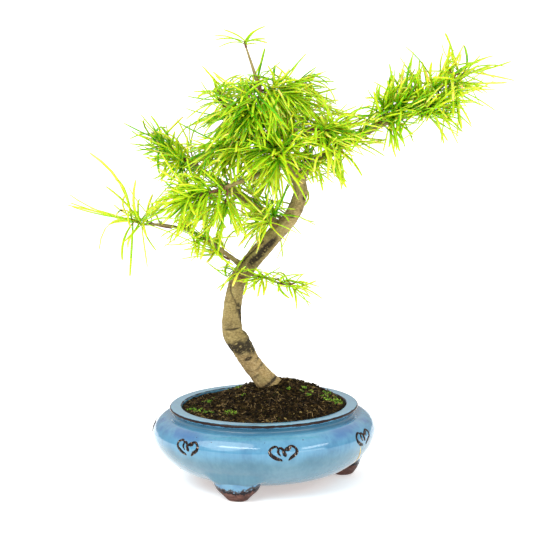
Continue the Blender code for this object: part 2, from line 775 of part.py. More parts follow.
def needle_directions(mass, axis, rng, count):
    """Directions that lean the way the whole mass leans: one on the spur's axis, the rest round it."""
    across = axis.cross(UP if abs(axis.z) < 0.9 else Vector((1.0, 0.0, 0.0))).normalized()
    over = across.cross(axis)
    lean = Vector(mass.lean)
    yield (axis + lean).normalized()
    turn = rng.uniform(0.0, 2 * math.pi)
    for k in range(count - 1):
        angle = turn + 2 * math.pi * (k + rng.uniform(-0.2, 0.2)) / (count - 1)
        tilt = math.radians(mass.spread * rng.uniform(0.75, 1.1))
        ring = across * math.cos(angle) + over * math.sin(angle)
        yield (axis * math.cos(tilt) + ring * math.sin(tilt) + lean).normalized()


def fits(points, own, others, limbs):
    """Whether all the points keep to the mass's own space and stay clear of the limbs."""
    for place in points:
        if limbs.clearance(place) < LIMB_CLEARANCE:
            return False
        mine = min(distance_to(place, *twig) for twig in own)
        if any(distance_to(place, *twig) < mine + NEIGHBOUR_CLEARANCE for twig in others):
            return False
    return True


def make_mass(name, line, spurs, skeletons, limbs, collection, finish, rng):
    mass = MASSES[name]
    own = skeletons[name]
    others = twigs_of_others(name, skeletons)
    radii = [STEM_ROOT + (STEM_TIP - STEM_ROOT) * k / (len(line) - 1) for k in range(len(line))]
    stem = add(name, tube_mesh(line, radii, 3), collection, finish)
    grown = new_collection(name)
    for start, end, axis in spurs:
        if start == end:
            start = end - axis * SPUR_KNOB
        add("spur", twig_mesh(start, end), grown)
        for direction in needle_directions(mass, axis, rng, NEEDLES):
            length = mass.needle * rng.uniform(1 - NEEDLE_SPREAD, 1 + NEEDLE_SPREAD)
            for _ in range(3):
                path = needle_points(end, direction, length, mass.droop, TESTED)
                if fits(path, own, others, limbs):
                    add("needle", needle_mesh(end, axis, direction, length, mass.droop), grown)
                    break
                length *= SHORTER
    for solver in ("EXACT", "MANIFOLD"):
        boolean(stem, "UNION", grown, solver)
        joined = evaluated_mesh(stem)
        stem.modifiers.clear()
        if keep_largest_shell(joined) > WHOLE:
            break
    stem.data = joined
    empty_collection(grown)


def settle(collection):
    """Moves everything so that the origin is the middle of the whole object's base."""
    bpy.context.view_layer.update()
    corners = []
    for obj in collection.objects:
        corners += [obj.matrix_world @ vert.co for vert in evaluated_mesh(obj).vertices]
    low = Vector(min(c[axis] for c in corners) for axis in range(3))
    high = Vector(max(c[axis] for c in corners) for axis in range(3))
    shift = Vector((-(low.x + high.x) / 2, -(low.y + high.y) / 2, -low.z))
    for obj in bpy.data.objects:
        obj.location += shift


def main():
    clear_scene()
    tree = new_collection("golden_larch_bonsai")
    glaze = material("blue_glaze", (0.30, 0.52, 0.68), 0.15)
    earth = material("dark_soil", (0.05, 0.035, 0.022), 0.95)
    bark = material("olive_bark", (0.30, 0.24, 0.12), 0.80)
    green = material("yellow_green_needles", (0.35, 0.58, 0.05), 0.50)
    make_pot(tree, glaze)
    trunk_cutter = make_trunk(tree, bark)
    make_soil(tree, earth, trunk_cutter)
    limbs = Limbs()
    line = smooth_line(TRUNK, TRUNK_STEPS)
    limbs.record("trunk", [p.to_3d() for p in line], [p.w for p in line])
    for name, bough in BOUGHS.items():
        make_bough(name, bough, limbs, tree, bark, trunk_cutter)
    stems = {name: stem_line(mass, limbs) for name, mass in MASSES.items()}
    skeletons = {name: list(zip(line, line[1:])) for name, line in stems.items()}
    spurs = {name: clear_spurs(name, stems[name], skeletons, limbs) for name in MASSES}
    for seed, name in enumerate(MASSES):
        rng = random.Random(seed)
        make_mass(name, stems[name], spurs[name], skeletons, limbs, tree, green, rng)
    settle(tree)


main()
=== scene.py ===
"""A golden larch bonsai in a blue glazed pot, on a pale floor in soft studio light.

Lengths are in metres. Everything is built about the pot's axis, with the floor at z = 0, and
each piece is then placed at AXIS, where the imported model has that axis.
"""

import math
import random
from collections import namedtuple

import bmesh
import bpy
from mathutils import Matrix, Vector, noise


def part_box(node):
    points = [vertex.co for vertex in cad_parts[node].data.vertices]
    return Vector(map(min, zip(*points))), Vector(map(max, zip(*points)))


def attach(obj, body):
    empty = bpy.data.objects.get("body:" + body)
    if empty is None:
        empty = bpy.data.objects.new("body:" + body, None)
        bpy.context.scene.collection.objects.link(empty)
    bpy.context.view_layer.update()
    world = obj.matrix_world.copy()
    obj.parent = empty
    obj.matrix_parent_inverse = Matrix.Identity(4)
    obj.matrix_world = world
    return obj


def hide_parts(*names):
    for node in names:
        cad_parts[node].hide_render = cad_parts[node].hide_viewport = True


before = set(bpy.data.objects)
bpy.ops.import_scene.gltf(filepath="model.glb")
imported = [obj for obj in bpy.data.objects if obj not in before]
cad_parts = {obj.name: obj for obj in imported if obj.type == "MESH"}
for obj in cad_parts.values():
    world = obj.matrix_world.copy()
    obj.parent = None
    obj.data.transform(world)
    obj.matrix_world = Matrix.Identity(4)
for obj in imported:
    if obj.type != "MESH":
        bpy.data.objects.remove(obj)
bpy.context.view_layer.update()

UP = Vector((0.0, 0.0, 1.0))
FRONT = Vector((0.0, -1.0, 0.0))
POT_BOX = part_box("pot")
AXIS = (POT_BOX[0] + POT_BOX[1]) / 2
AXIS.z = 0.0
GOLDEN_ANGLE = math.radians(137.5)


# Shared helpers


def round_axis(radius, turn, height=0.0):
    """The place at a radius from the pot's axis, at an angle from the front."""
    return Vector((radius * math.sin(turn), -radius * math.cos(turn), height))


def lerp(a, b, share):
    return a + (b - a) * share


def smooth_step(low, high, value):
    share = min(max((value - low) / (high - low), 0.0), 1.0)
    return share * share * (3 - 2 * share)


def smooth_line(points, steps):
    """A Catmull-Rom curve through the points, which may carry a radius as a fourth value."""
    points = [Vector(p) for p in points]
    ends = [2 * points[0] - points[1]] + points + [2 * points[-1] - points[-2]]
    line = []
    for a, b, c, d in zip(ends, ends[1:], ends[2:], ends[3:]):
        for step in range(steps):
            t = step / steps
            bend = (2 * a - 5 * b + 4 * c - d) * t**2 + (3 * b - a - 3 * c + d) * t**3
            line.append(0.5 * (2 * b + (c - a) * t + bend))
    return line + [points[-1]]


def over_knee(root, knee, tip, steps):
    """Points of the quadratic Bezier curve from root to tip that bends towards the knee."""
    return [
        root.lerp(knee, k / steps).lerp(knee.lerp(tip, k / steps), k / steps)
        for k in range(steps + 1)
    ]


class Shape:
    """Vertices and faces gathered from many small forms, each face with its material's number."""

    def __init__(self):
        self.points = []
        self.faces = []
        self.slots = []

    def add(self, points, faces, slots=0):
        first = len(self.points)
        self.points += points
        self.faces += [tuple(first + k for k in face) for face in faces]
        self.slots += slots if isinstance(slots, list) else [slots] * len(faces)

    def mesh(self, name, smooth=True):
        mesh = bpy.data.meshes.new(name)
        mesh.from_pydata([tuple(p) for p in self.points], [], self.faces)
        mesh.polygons.foreach_set("material_index", self.slots)
        if smooth:
            mesh.shade_smooth()
        mesh.update()
        return mesh


def paint(mesh, name, values):
    """Gives each vertex a value that a material can read by name."""
    mesh.attributes.new(name, "FLOAT", "POINT").data.foreach_set("value", values)


def new_object(name, data):
    made = bpy.data.objects.new(name, data)
    bpy.context.scene.collection.objects.link(made)
    return made


def piece(name, mesh, looks, nodes=()):
    """Puts a mesh into the scene as a piece of the tree, standing for the CAD nodes named."""
    obj = new_object(name, mesh)
    obj.location = AXIS
    for look in looks:
        mesh.materials.append(look)
    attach(obj, "root")
    if nodes:
        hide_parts(*nodes)
    return obj


def frames_along(line, reference):
    """(point, tangent, side, over) at each point, with no twist about the line."""
    made = []
    for k, point in enumerate(line):
        tangent = (line[min(k + 1, len(line) - 1)] - line[max(k - 1, 0)]).normalized()
        over = (reference - tangent * reference.dot(tangent)).normalized()
        made.append((point, tangent, tangent.cross(over).normalized(), over))
        reference = over
    return made


def tube_faces(rings, around):
    """The faces of a closed tube: from ring to ring of its points, and over its two ends."""
    faces = []
    for ring in range(rings - 1):
        for k in range(around):
            a = ring * around + k
            b = ring * around + (k + 1) % around
            faces.append((a, b, b + around, a + around))
    last = (rings - 1) * around
    return faces + [tuple(reversed(range(around))), tuple(range(last, last + around))]


def tube(shape, line, radii, sides, reference=FRONT, slot=0):
    """A closed tube round the line, tapering by the radii."""
    points = []
    for (centre, _, side, over), radius in zip(frames_along(line, reference), radii):
        for k in range(sides):
            angle = math.tau * k / sides
            points.append(centre + (over * math.cos(angle) + side * math.sin(angle)) * radius)
    shape.add(points, tube_faces(len(line), sides), slot)


# Materials


class Look:
    """A material and short ways to add nodes to it."""

    def __init__(self, name, colour=(0.8, 0.8, 0.8), roughness=0.5):
        self.material = bpy.data.materials.new(name)
        self.material.use_nodes = True
        self.tree = self.material.node_tree
        self.shader = self.tree.nodes["Principled BSDF"]
        self.surface({"Base Color": (*colour, 1.0), "Roughness": roughness})

    def surface(self, inputs):
        """Sets the shader's own inputs."""
        self.set(self.shader, inputs)

    def set(self, node, inputs):
        for name, value in inputs.items():
            if isinstance(value, bpy.types.NodeSocket):
                self.tree.links.new(value, node.inputs[name])
            else:
                node.inputs[name].default_value = value

    def node(self, kind, inputs=None, **settings):
        made = self.tree.nodes.new("ShaderNode" + kind)
        for name, value in settings.items():
            setattr(made, name, value)
        self.set(made, inputs or {})
        return made

    def coordinates(self, scale=(1.0, 1.0, 1.0)):
        place = self.node("TexCoord").outputs["Object"]
        if scale == (1.0, 1.0, 1.0):
            return place
        return self.node("Mapping", {"Vector": place, "Scale": scale}).outputs[0]

    def noise(self, place, scale, detail=3.0, roughness=0.55, distortion=0.0):
        inputs = {
            "Vector": place, "Scale": scale, "Detail": detail, "Roughness": roughness,
            "Distortion": distortion,
        }
        return self.node("TexNoise", inputs).outputs["Fac"]

    def math(self, operation, a, b=0.0):
        return self.node("Math", {0: a, 1: b}, operation=operation).outputs[0]

    def plus(self, a, b):
        return self.math("ADD", a, b)

    def minus(self, a, b):
        return self.math("SUBTRACT", a, b)

    def times(self, a, b):
        return self.math("MULTIPLY", a, b)

    def span(self, value, low, high, to_low=0.0, to_high=1.0):
        inputs = {
            "Value": value, "From Min": low, "From Max": high, "To Min": to_low, "To Max": to_high,
        }
        return self.node("MapRange", inputs, interpolation_type="SMOOTHSTEP").outputs[0]

    def both(self, first, second):
        """The product of two spans, each as (value, low, high)."""
        return self.times(self.span(*first), self.span(*second))

    def ramp(self, value, *stops):
        made = self.node("ValToRGB", {"Fac": value})
        elements = made.color_ramp.elements
        while len(elements) < len(stops):
            elements.new(0.5)
        for element, (place, colour) in zip(elements, stops):
            element.position = place
            element.color = (*colour, 1.0)
        return made.outputs["Color"]

    def mix(self, share, a, b):
        made = self.node("Mix", data_type="RGBA")
        self.tree.links.new(share, made.inputs[0])
        for socket, value in ((made.inputs[6], a), (made.inputs[7], b)):
            if isinstance(value, bpy.types.NodeSocket):
                self.tree.links.new(value, socket)
            else:
                socket.default_value = (*value, 1.0)
        return made.outputs[2]

    def wander(self, scale, low, high, roughness=0.55):
        """A colour that wanders between two, for small forms."""
        tone = self.noise(self.coordinates(), scale, 3.0, roughness)
        return self.ramp(tone, (0.35, low), (0.65, high))

    def bump(self, height, strength, distance):
        inputs = {"Height": height, "Strength": strength, "Distance": distance}
        return self.node("Bump", inputs).outputs[0]


# The pot

POT_AROUND = 224
RIM_INSIDE = 0.0825
RIM_OUTER_EDGE = (0.0950, 0.0768)
RIM_INNER_EDGE = (0.0831, 0.0781)
BASE_HEIGHT = 0.0100
BELLY_TOP = 0.0690
# Outside of the pot from the rim's inner edge to the base, as (radius, height)
OUTSIDE = (
    (0.0826, 0.0720), (0.0826, 0.0763), (0.0833, 0.0779), (0.0848, 0.0784), (0.0885, 0.0785),
    (0.0922, 0.0784), (0.0940, 0.0780), (0.0951, 0.0770), (0.0952, 0.0757), (0.0944, 0.0745),
    (0.0931, 0.0738), (0.0922, 0.0728), (0.0918, 0.0713), (0.0920, 0.0701), (0.0932, 0.0692),
    (0.0955, 0.0690), (0.0990, 0.0688), (0.1030, 0.0672), (0.1070, 0.0644), (0.1104, 0.0602),
    (0.1124, 0.0556), (0.1127, 0.0530), (0.1122, 0.0480), (0.1092, 0.0400), (0.1038, 0.0320),
    (0.0958, 0.0240), (0.0838, 0.0162), (0.0720, 0.0118), (0.0640, 0.0100),
)
DRAIN_RADIUS = 0.0090
FLOOR_HEIGHT = 0.0190
INSIDE = (
    (0.0640, 0.0190), (0.0827, 0.0260), (0.0947, 0.0350), (0.1037, 0.0500), (0.1037, 0.0560),
    (0.0905, 0.0625), (0.0826, 0.0675),
)


def glaze_look():
    """Pooled blue glaze that breaks brown along the rim's edges; bluer above and greyer low on the belly,
    in part a painted reflection of the softbox above and the pale floor below.
    """
    look = Look("blue_glaze", roughness=0.12)
    place = look.coordinates()
    split = look.node("SeparateXYZ", {0: place})
    x, y, z = split.outputs
    flat = look.node("CombineXYZ", {0: x, 1: y, 2: 0.0}).outputs[0]
    radius = look.node("VectorMath", {0: flat}, operation="LENGTH").outputs["Value"]
    cloud = look.noise(place, 26.0, 4.0, 0.6)
    streak = look.noise(look.coordinates(scale=(1.0, 1.0, 0.12)), 260.0, 3.0, 0.6)
    tone = look.plus(look.times(cloud, 0.72), look.times(streak, 0.28))
    # Painted reflection in part: the upper belly is bluer where it mirrors the softbox, and the lower
    # belly is greyer where it mirrors the pale floor.
    upper = look.ramp(
        tone, (0.38, (0.050, 0.175, 0.300)), (0.50, (0.072, 0.232, 0.368)),
        (0.64, (0.098, 0.280, 0.415))
    )
    lower = look.ramp(
        tone, (0.38, (0.034, 0.132, 0.200)), (0.52, (0.052, 0.162, 0.228)),
        (0.66, (0.080, 0.194, 0.258))
    )
    drift = look.plus(z, look.times(cloud, 0.016))
    colour = look.mix(look.span(drift, 0.048, 0.062), lower, upper)
    # The rim's top is paler and greyer. The channel under it is painted darker: painted shade under the
    # lip, where the glaze also pools.
    top = look.both((z, 0.0776, 0.0782), (radius, 0.080, 0.084))
    colour = look.mix(look.times(top, 0.75), colour, (0.135, 0.300, 0.420))
    groove_shade = look.both((z, 0.0686, 0.0700), (z, 0.0752, 0.0738))
    groove_shade = look.times(groove_shade, look.span(radius, 0.0965, 0.0935))
    colour = look.mix(look.times(groove_shade, 0.75), colour, (0.030, 0.115, 0.180))
    violet = look.both((z, 0.0570, 0.0640), (z, 0.0695, 0.0675))
    violet = look.times(violet, look.span(look.noise(place, 24.0), 0.42, 0.58))
    violet = look.times(violet, look.span(look.math("ABSOLUTE", x), 0.050, 0.075))
    colour = look.mix(look.times(violet, 0.7), colour, (0.012, 0.080, 0.260))
    # It breaks brown along the rim's two edges.
    uneven = look.times(look.noise(place, 150.0, 3.0), 0.0020)
    brown = None
    for (r, h), width in ((RIM_OUTER_EDGE, 0.0020), (RIM_INNER_EDGE, 0.0013)):
        off = look.node(
            "CombineXYZ",
            {0: look.minus(radius, r), 1: look.minus(z, h), 2: 0.0}
        ).outputs[0]
        away = look.node("VectorMath", {0: off}, operation="LENGTH").outputs["Value"]
        away = look.plus(away, uneven)
        edge = look.span(away, width + 0.0008, width)
        brown = edge if brown is None else look.math("MAXIMUM", brown, edge)
    colour = look.mix(brown, colour, (0.014, 0.005, 0.004))
    # Bare clay under the pot
    clay = look.both((z, 0.0121, 0.0113), (radius, 0.0775, 0.0745))
    grit = look.ramp(look.noise(place, 420.0), (0.3, (0.10, 0.042, 0.03)), (0.7, (0.20, 0.10, 0.07)))
    colour = look.mix(clay, colour, grit)
    rough = look.plus(look.times(clay, 0.55), look.span(cloud, 0.2, 0.8, 0.06, 0.14))
    wave = look.plus(look.noise(place, 34.0, 2.0), look.times(streak, 0.16))
    rings = look.times(look.noise(look.coordinates(scale=(0.02, 0.02, 1.0)), 330.0, 1.0), 0.3)
    look.surface({
        "Base Color": colour, "Roughness": rough, "Coat Roughness": 0.04,
        "Coat Weight": look.span(brown, 0.0, 1.0, 0.5, 0.0),
        "Specular IOR Level": look.span(brown, 0.0, 1.0, 0.5, 0.2),
        "Normal": look.bump(look.plus(wave, rings), 0.5, 0.0012),
    })
    return look.material


def turned_shape(profile, around):
    """A closed solid turned about Z from a closed profile of (radius, height) points."""
    shape = Shape()
    points = []
    for radius, height in profile:
        for k in range(around):
            angle = math.tau * k / around
            points.append(Vector((radius * math.cos(angle), radius * math.sin(angle), height)))
    faces = []
    count = len(profile)
    for ring in range(count):
        for k in range(around):
            a = ring * around + k
            b = ring * around + (k + 1) % around
            c = (ring + 1) % count * around
            faces.append((a, c + k, c + (k + 1) % around, b))
    shape.add(points, faces)
    return shape


FEET = 3
FIRST_FOOT = math.radians(-18.7)
BULGE_HALF_WIDTH = 0.0290
BULGE_RADIUS = 0.1002
BULGE_TOP = 0.0385
BULGE_UNDER = 0.0175
BULGE_MIDDLE = 0.0215  # the height at which a bulge has its radius


def foot_edge(across):
    """How high the glaze ends on a foot, from its middle (0) to its corners (1)."""
    return 0.0105 + 0.0062 * across**2


def bulged(point):
    """Moves a point of the belly out where the belly swells over one of the feet."""
    radius = math.hypot(point.x, point.y)
    if not BULGE_UNDER - 0.0060 < point.z < BULGE_TOP or radius < 0.0660:
        return point
    angle = math.atan2(point.x, -point.y) - FIRST_FOOT
    spacing = math.tau / FEET
    angle = (angle + spacing / 2) % spacing - spacing / 2
    across = angle * BULGE_RADIUS / BULGE_HALF_WIDTH
    swell = math.exp(-(across**6))
    under = foot_edge(min(abs(across), 1.0)) + 0.0020
    swell *= smooth_step(BULGE_TOP, 0.0250, point.z) * smooth_step(under, under + 0.0037, point.z)
    above = point.z - BULGE_MIDDLE
    target = BULGE_RADIUS - 0.6 * max(0.0, -above) + 0.25 * max(0.0, above)
    grown = radius + max(0.0, target - radius) * swell
    return Vector((point.x * grown / radius, point.y * grown / radius, point.z))


def make_pot(glaze):
    outside = [(p.x, p.y) for p in smooth_line([(r, h, 0) for r, h in OUTSIDE], 6)]
    drain = [(DRAIN_RADIUS, BASE_HEIGHT), (DRAIN_RADIUS, FLOOR_HEIGHT)]
    shape = turned_shape(outside + drain + list(INSIDE), POT_AROUND)
    count = len(outside) * POT_AROUND
    shape.points = [bulged(p) for p in shape.points[:count]] + shape.points[count:]
    mesh = shape.mesh("pot_body")
    mesh.set_sharp_from_angle(angle=math.radians(50))
    piece("pot_body", mesh, [glaze], ["pot"])


def belly_radius(height):
    """The radius of the pot's outside at a height on its belly."""
    line = [point for point in OUTSIDE if point[1] <= BELLY_TOP]
    for (r_high, high), (r_low, low) in zip(line, line[1:]):
        if low <= height <= high:
            return lerp(r_low, r_high, (height - low) / (high - low))
    return line[-1][0]


def on_belly(angle, height, proud):
    """A place on the belly, at an angle from the front, standing that much proud of the glaze."""
    slope = (belly_radius(height + 0.001) - belly_radius(height - 0.001)) / 0.002
    out = round_axis(1.0, angle, -slope).normalized()
    return round_axis(belly_radius(height), angle, height) + out * proud, out


# The heart-shaped ornaments round the belly, as strokes of (across, up, half width) in mm
HEARTS = 7
FIRST_HEART = math.radians(9.5)
HEART_HEIGHT = 0.0538
HEART_WIDENS = 0.93
HEART_RISES = 0.85
STROKES = (
    ((-5.4, 7.4, 0.35), (-8.4, 8.3, 0.60), (-11.4, 7.4, 0.70), (-13.9, 5.2, 0.80),
     (-14.6, 2.4, 0.85), (-12.9, -0.6, 1.05), (-9.5, -3.6, 1.15), (-5.4, -5.8, 1.00),
     (-2.9, -6.7, 0.75), (-1.6, -8.2, 0.35)),
    ((-6.6, 7.3, 0.35), (-5.2, 5.4, 0.70), (-5.8, 3.0, 0.75), (-4.8, 0.4, 0.60),
     (-2.9, -2.0, 0.30)),
    ((-4.9, 7.0, 0.40), (-2.4, 6.4, 0.75), (-0.4, 4.6, 0.80), (0.2, 1.8, 1.00),
     (1.4, -0.8, 1.15), (2.1, -3.0, 0.45)),
    ((0.4, 2.6, 0.50), (1.9, 4.6, 0.75), (4.0, 6.6, 0.60), (6.4, 7.5, 0.40)),
    ((3.0, 4.2, 0.45), (4.8, 4.6, 0.85), (6.8, 5.6, 0.75), (8.0, 7.0, 0.35)),
    ((4.2, 6.6, 0.35), (6.8, 8.0, 0.55), (9.9, 8.0, 0.65), (12.7, 6.2, 0.75),
     (14.2, 3.2, 0.90), (13.4, 0.2, 1.00), (10.8, -2.3, 1.05), (7.8, -4.6, 0.95),
     (5.4, -7.6, 0.40)),
)
RELIEF = 0.0007
STROKE_SWELL = 1.95


def make_hearts():
    """Dark raised strokes on the belly, each a low rounded ridge that follows its curve."""
    look = Look("heart_relief", roughness=0.14)
    place = look.coordinates()
    tone = look.noise(place, 520.0, 3.0, 0.6)
    colour = look.ramp(
        tone, (0.42, (0.003, 0.0015, 0.0015)), (0.57, (0.012, 0.005, 0.004)),
        (0.61, (0.120, 0.060, 0.034)), (0.68, (0.420, 0.360, 0.300))
    )
    look.surface({
        "Base Color": colour, "Specular IOR Level": 0.15,
        "Normal": look.bump(look.noise(place, 900.0, 2.0), 0.5, 0.0003),
    })
    shape = Shape()
    for k in range(HEARTS):
        centre = FIRST_HEART + math.tau * k / HEARTS
        for stroke in STROKES:
            add_ridge(shape, smooth_line([(x, y, w) for x, y, w in stroke], 4), centre)
    piece("pot_hearts", shape.mesh("pot_hearts"), [look.material])


RIDGE = ((-1.0, -0.35), (-0.75, 0.45), (-0.3, 0.9), (0.3, 0.9), (0.75, 0.45), (1.0, -0.35))


def add_ridge(shape, line, centre):
    """One stroke's ridge: a low rounded section carried along its line over the belly."""
    points = []
    flat = [Vector((p.x, p.y)) for p in line]
    for k, point in enumerate(line):
        along = (flat[min(k + 1, len(flat) - 1)] - flat[max(k - 1, 0)]).normalized()
        across = Vector((-along.y, along.x))
        for side, rise in RIDGE:
            spot = Vector((flat[k].x * HEART_WIDENS, flat[k].y * HEART_RISES))
            spot = (spot + across * side * point.z * STROKE_SWELL) / 1000
            height = HEART_HEIGHT + spot.y
            angle = centre + spot.x / belly_radius(HEART_HEIGHT)
            swell = min(point.z / 0.6, 1.0)
            points.append(on_belly(angle, height, RELIEF * rise * swell)[0])
    shape.add(points, tube_faces(len(line), len(RIDGE)))


# The three feet

FOOT_AROUND = 64
# (height, half width, inner radius, outer radius) of a foot, from its sole up into the belly
FOOT_RINGS = (
    (0.0000, 0.0088, 0.0735, 0.0890), (0.0010, 0.0112, 0.0715, 0.0912),
    (0.0030, 0.0135, 0.0703, 0.0928), (0.0060, 0.0170, 0.0692, 0.0946),
    (0.0100, 0.0226, 0.0682, 0.0966), (0.0140, 0.0262, 0.0672, 0.0982),
    (0.0180, 0.0280, 0.0664, 0.0992), (0.0215, 0.0272, 0.0660, 0.0985),
    (0.0250, 0.0240, 0.0660, 0.0960),
)
# How far from a foot's middle its glaze rises to its highest edge
FOOT_HALF_WIDTH = 0.0272
FOOT_ROUNDING = 0.8  # 1 would make a foot an ellipse from above, and less makes it squarer


def make_feet():
    """Each foot is a glazed bulge of the belly over a bare clay pad that narrows to its sole."""
    look = Look("foot_glaze_and_clay", roughness=0.2)
    place = look.coordinates()
    scallop = look.noise(look.coordinates(scale=(1.0, 1.0, 0.5)), 170.0, 2.0, 0.6, 1.2)
    over = look.node("Attribute", attribute_name="over_edge").outputs["Fac"]
    edge = look.minus(over, look.times(look.minus(scallop, 0.5), 8.5))
    glazed = look.span(edge, 0.9, 1.2)
    rim = look.both((edge, -2.2, -1.8), (edge, 3.4, 2.8))
    loops = look.span(look.noise(place, 520.0, 2.0), 0.54, 0.60)
    loops = look.times(loops, look.span(edge, -0.6, 1.0))
    rim = look.times(rim, look.minus(1.0, look.times(loops, 0.85)))
    rings = look.noise(look.coordinates(scale=(0.25, 0.25, 1.0)), 700.0, 2.0)
    clay = look.ramp(
        look.plus(look.times(rings, 0.6), look.times(scallop, 0.4)),
        (0.36, (0.034, 0.012, 0.008)), (0.52, (0.090, 0.036, 0.026)), (0.66, (0.180, 0.086, 0.064))
    )
    blue = look.ramp(
        look.noise(place, 60.0, 3.0), (0.35, (0.050, 0.165, 0.300)), (0.6, (0.110, 0.270, 0.400))
    )
    colour = look.mix(glazed, clay, blue)
    colour = look.mix(rim, colour, (0.010, 0.007, 0.010))
    bump = look.plus(look.times(glazed, 1.2), look.times(rings, 0.6))
    look.surface({
        "Base Color": colour,
        "Roughness": look.span(look.math("MAXIMUM", glazed, rim), 0, 1, 0.55, 0.1),
        "Coat Weight": look.times(glazed, 0.5),
        "Specular IOR Level": look.span(glazed, 0.0, 1.0, 0.2, 0.5),
        "Normal": look.bump(bump, 0.5, 0.0007),
    })
    rings = smooth_line([(half, inner, outer) for _, half, inner, outer in FOOT_RINGS], 3)
    heights = smooth_line([(ring[0], 0.0, 0.0) for ring in FOOT_RINGS], 3)
    for k in range(FEET):
        shape = Shape()
        points = []
        over_edge = []
        heading = FIRST_FOOT + math.tau * k / FEET
        for (half, inner, outer), (z, _, _) in zip(rings, heights):
            for j in range(FOOT_AROUND):
                around = math.tau * j / FOOT_AROUND
                c, s = math.cos(around), math.sin(around)
                across = math.copysign(abs(c) ** FOOT_ROUNDING, c) * half
                outward = math.copysign(abs(s) ** FOOT_ROUNDING, s) * (outer - inner) / 2
                radius = (inner + outer) / 2 + outward
                angle = heading + across / outer
                points.append(round_axis(radius, angle, z))
                edge_height = foot_edge(min(abs(across) / FOOT_HALF_WIDTH, 1.0))
                over_edge.append((z - edge_height) * 1000)
        faces = tube_faces(len(rings), FOOT_AROUND)
        shape.add(points, [tuple(reversed(face)) for face in faces])
        mesh = shape.mesh(f"pot_foot_{k + 1}")
        paint(mesh, "over_edge", over_edge)
        mesh.set_sharp_from_angle(angle=math.radians(50))
        piece(f"pot_foot_{k + 1}", mesh, [look.material])


# Small faults in the glaze, as (angle from the front, height, size in mm)
PINHOLES = (
    (-28.1, 0.0627, 0.75), (0.3, 0.0642, 0.55), (20.6, 0.0648, 0.75), (-37.0, 0.0332, 0.45),
    (-8.5, 0.0498, 0.45), (30.1, 0.0446, 0.70), (-61.7, 0.0235, 0.95), (-38.0, 0.0649, 0.60),
    (-21.1, 0.0419, 0.50), (-31.5, 0.0367, 0.35), (-14.1, 0.0303, 0.40), (0.0, 0.0383, 0.35),
    (6.7, 0.0489, 0.40), (71.0, 0.0500, 0.55), (104.0, 0.0620, 0.60), (139.0, 0.0420, 0.50),
    (163.0, 0.0560, 0.65), (188.0, 0.0360, 0.45), (214.0, 0.0610, 0.60), (236.0, 0.0470, 0.50),
    (262.0, 0.0530, 0.45), (281.0, 0.0400, 0.55),
)
PINHOLE_AROUND = 10
PINHOLE_RINGS = ((1.0, -0.15), (0.85, 0.16), (0.4, 0.32))  # how wide and how far out, in sizes
# A gold hairline down the glaze, as (angle from the front, height, thickness in shares of 0.6)
HAIRLINE_RADIUS = 0.00042
HAIRLINE = (
    (58.0, 0.0475, 0.25), (58.4, 0.0450, 0.55), (59.6, 0.0410, 0.70), (61.4, 0.0365, 0.75),
    (63.6, 0.0320, 0.65), (65.6, 0.0282, 0.55), (67.0, 0.0252, 0.25),
)


def make_faults():
    dark = Look("glaze_pinhole", (0.012, 0.010, 0.012), 0.25)
    tone = dark.wander(900.0, (0.006, 0.005, 0.006), (0.030, 0.020, 0.022))
    dark.surface({"Base Color": tone})
    gold = Look("gold_line", (0.75, 0.48, 0.08), 0.3)
    gold.surface({
        "Base Color": gold.wander(400.0, (0.62, 0.34, 0.03), (0.86, 0.64, 0.16)),
        "Metallic": 0.35,
    })
    shape = Shape()
    for turn, height, size in PINHOLES:
        centre, out = on_belly(math.radians(turn), height, 0.0)
        side = out.cross(UP).normalized()
        over = side.cross(out)
        size /= 1000
        ring = []
        for share, rise in PINHOLE_RINGS:
            for k in range(PINHOLE_AROUND):
                angle = math.tau * k / PINHOLE_AROUND
                spot = side * math.cos(angle) + over * math.sin(angle) * 0.8
                ring.append(centre + spot * size * share + out * size * rise)
        faces = tube_faces(len(PINHOLE_RINGS), PINHOLE_AROUND)
        shape.add(ring, [face[:1] + face[:0:-1] for face in faces])
    line = smooth_line([(turn, height * 1000, width) for turn, height, width in HAIRLINE], 5)
    track = [on_belly(math.radians(p.x), p.y / 1000, 0.0001)[0] for p in line]
    tube(shape, track, [HAIRLINE_RADIUS * min(p.z / 0.6, 1.2) for p in line], 8, UP, 1)
    piece("glaze_faults", shape.mesh("glaze_faults"), [dark.material, gold.material])


# The soil

SOIL_EDGE = 0.0762
SOIL_RISE = 0.0188
MOUND_CENTRE = Vector((0.027, 0.017))
COLLAR_RISE = 0.0040
COLLAR_RADIUS = 0.0180
COLLAR_CENTRE = Vector((0.018, 0.020))
# Soil heaped against the right of the trunk's foot
HEAP_CENTRE = Vector((0.0235, 0.0030))
HEAP_RADIUS = 0.0100
HEAP_RISE = 0.0055
SOIL_UNDERSIDE = 0.0680
SOIL_GAP = 0.0002
SOIL_SINK = 0.0004
# The lumps get lower between these two radii, near the rim.
LUMPS_LOW, LUMPS_FULL = 0.0822, 0.0760
LUMP_HEIGHT = 0.0017
GRIT_HEIGHT = 0.0011
# How far out a crumb's middle and its outside may lie, where a fibre may begin, and the radius
# within which fibres and moss end
CRUMB_REACH = 0.0805
CRUMB_EDGE = 0.0820
FIBRE_START = 0.0770
LITTER_REACH = 0.0800
# The trunk's foot, which crumbs, fibres and moss keep clear of
TRUNK_FOOT = Vector((0.0065, 0.0145))
TRUNK_FOOT_RADIUS = 0.0125
SOIL_RINGS = 74
SOIL_AROUND = 300
CRUMBS = 3400
FIBRES = 520
MOSS_DENSITY = 4.6e6  # tufts tried in a patch, for each square metre of its radius squared
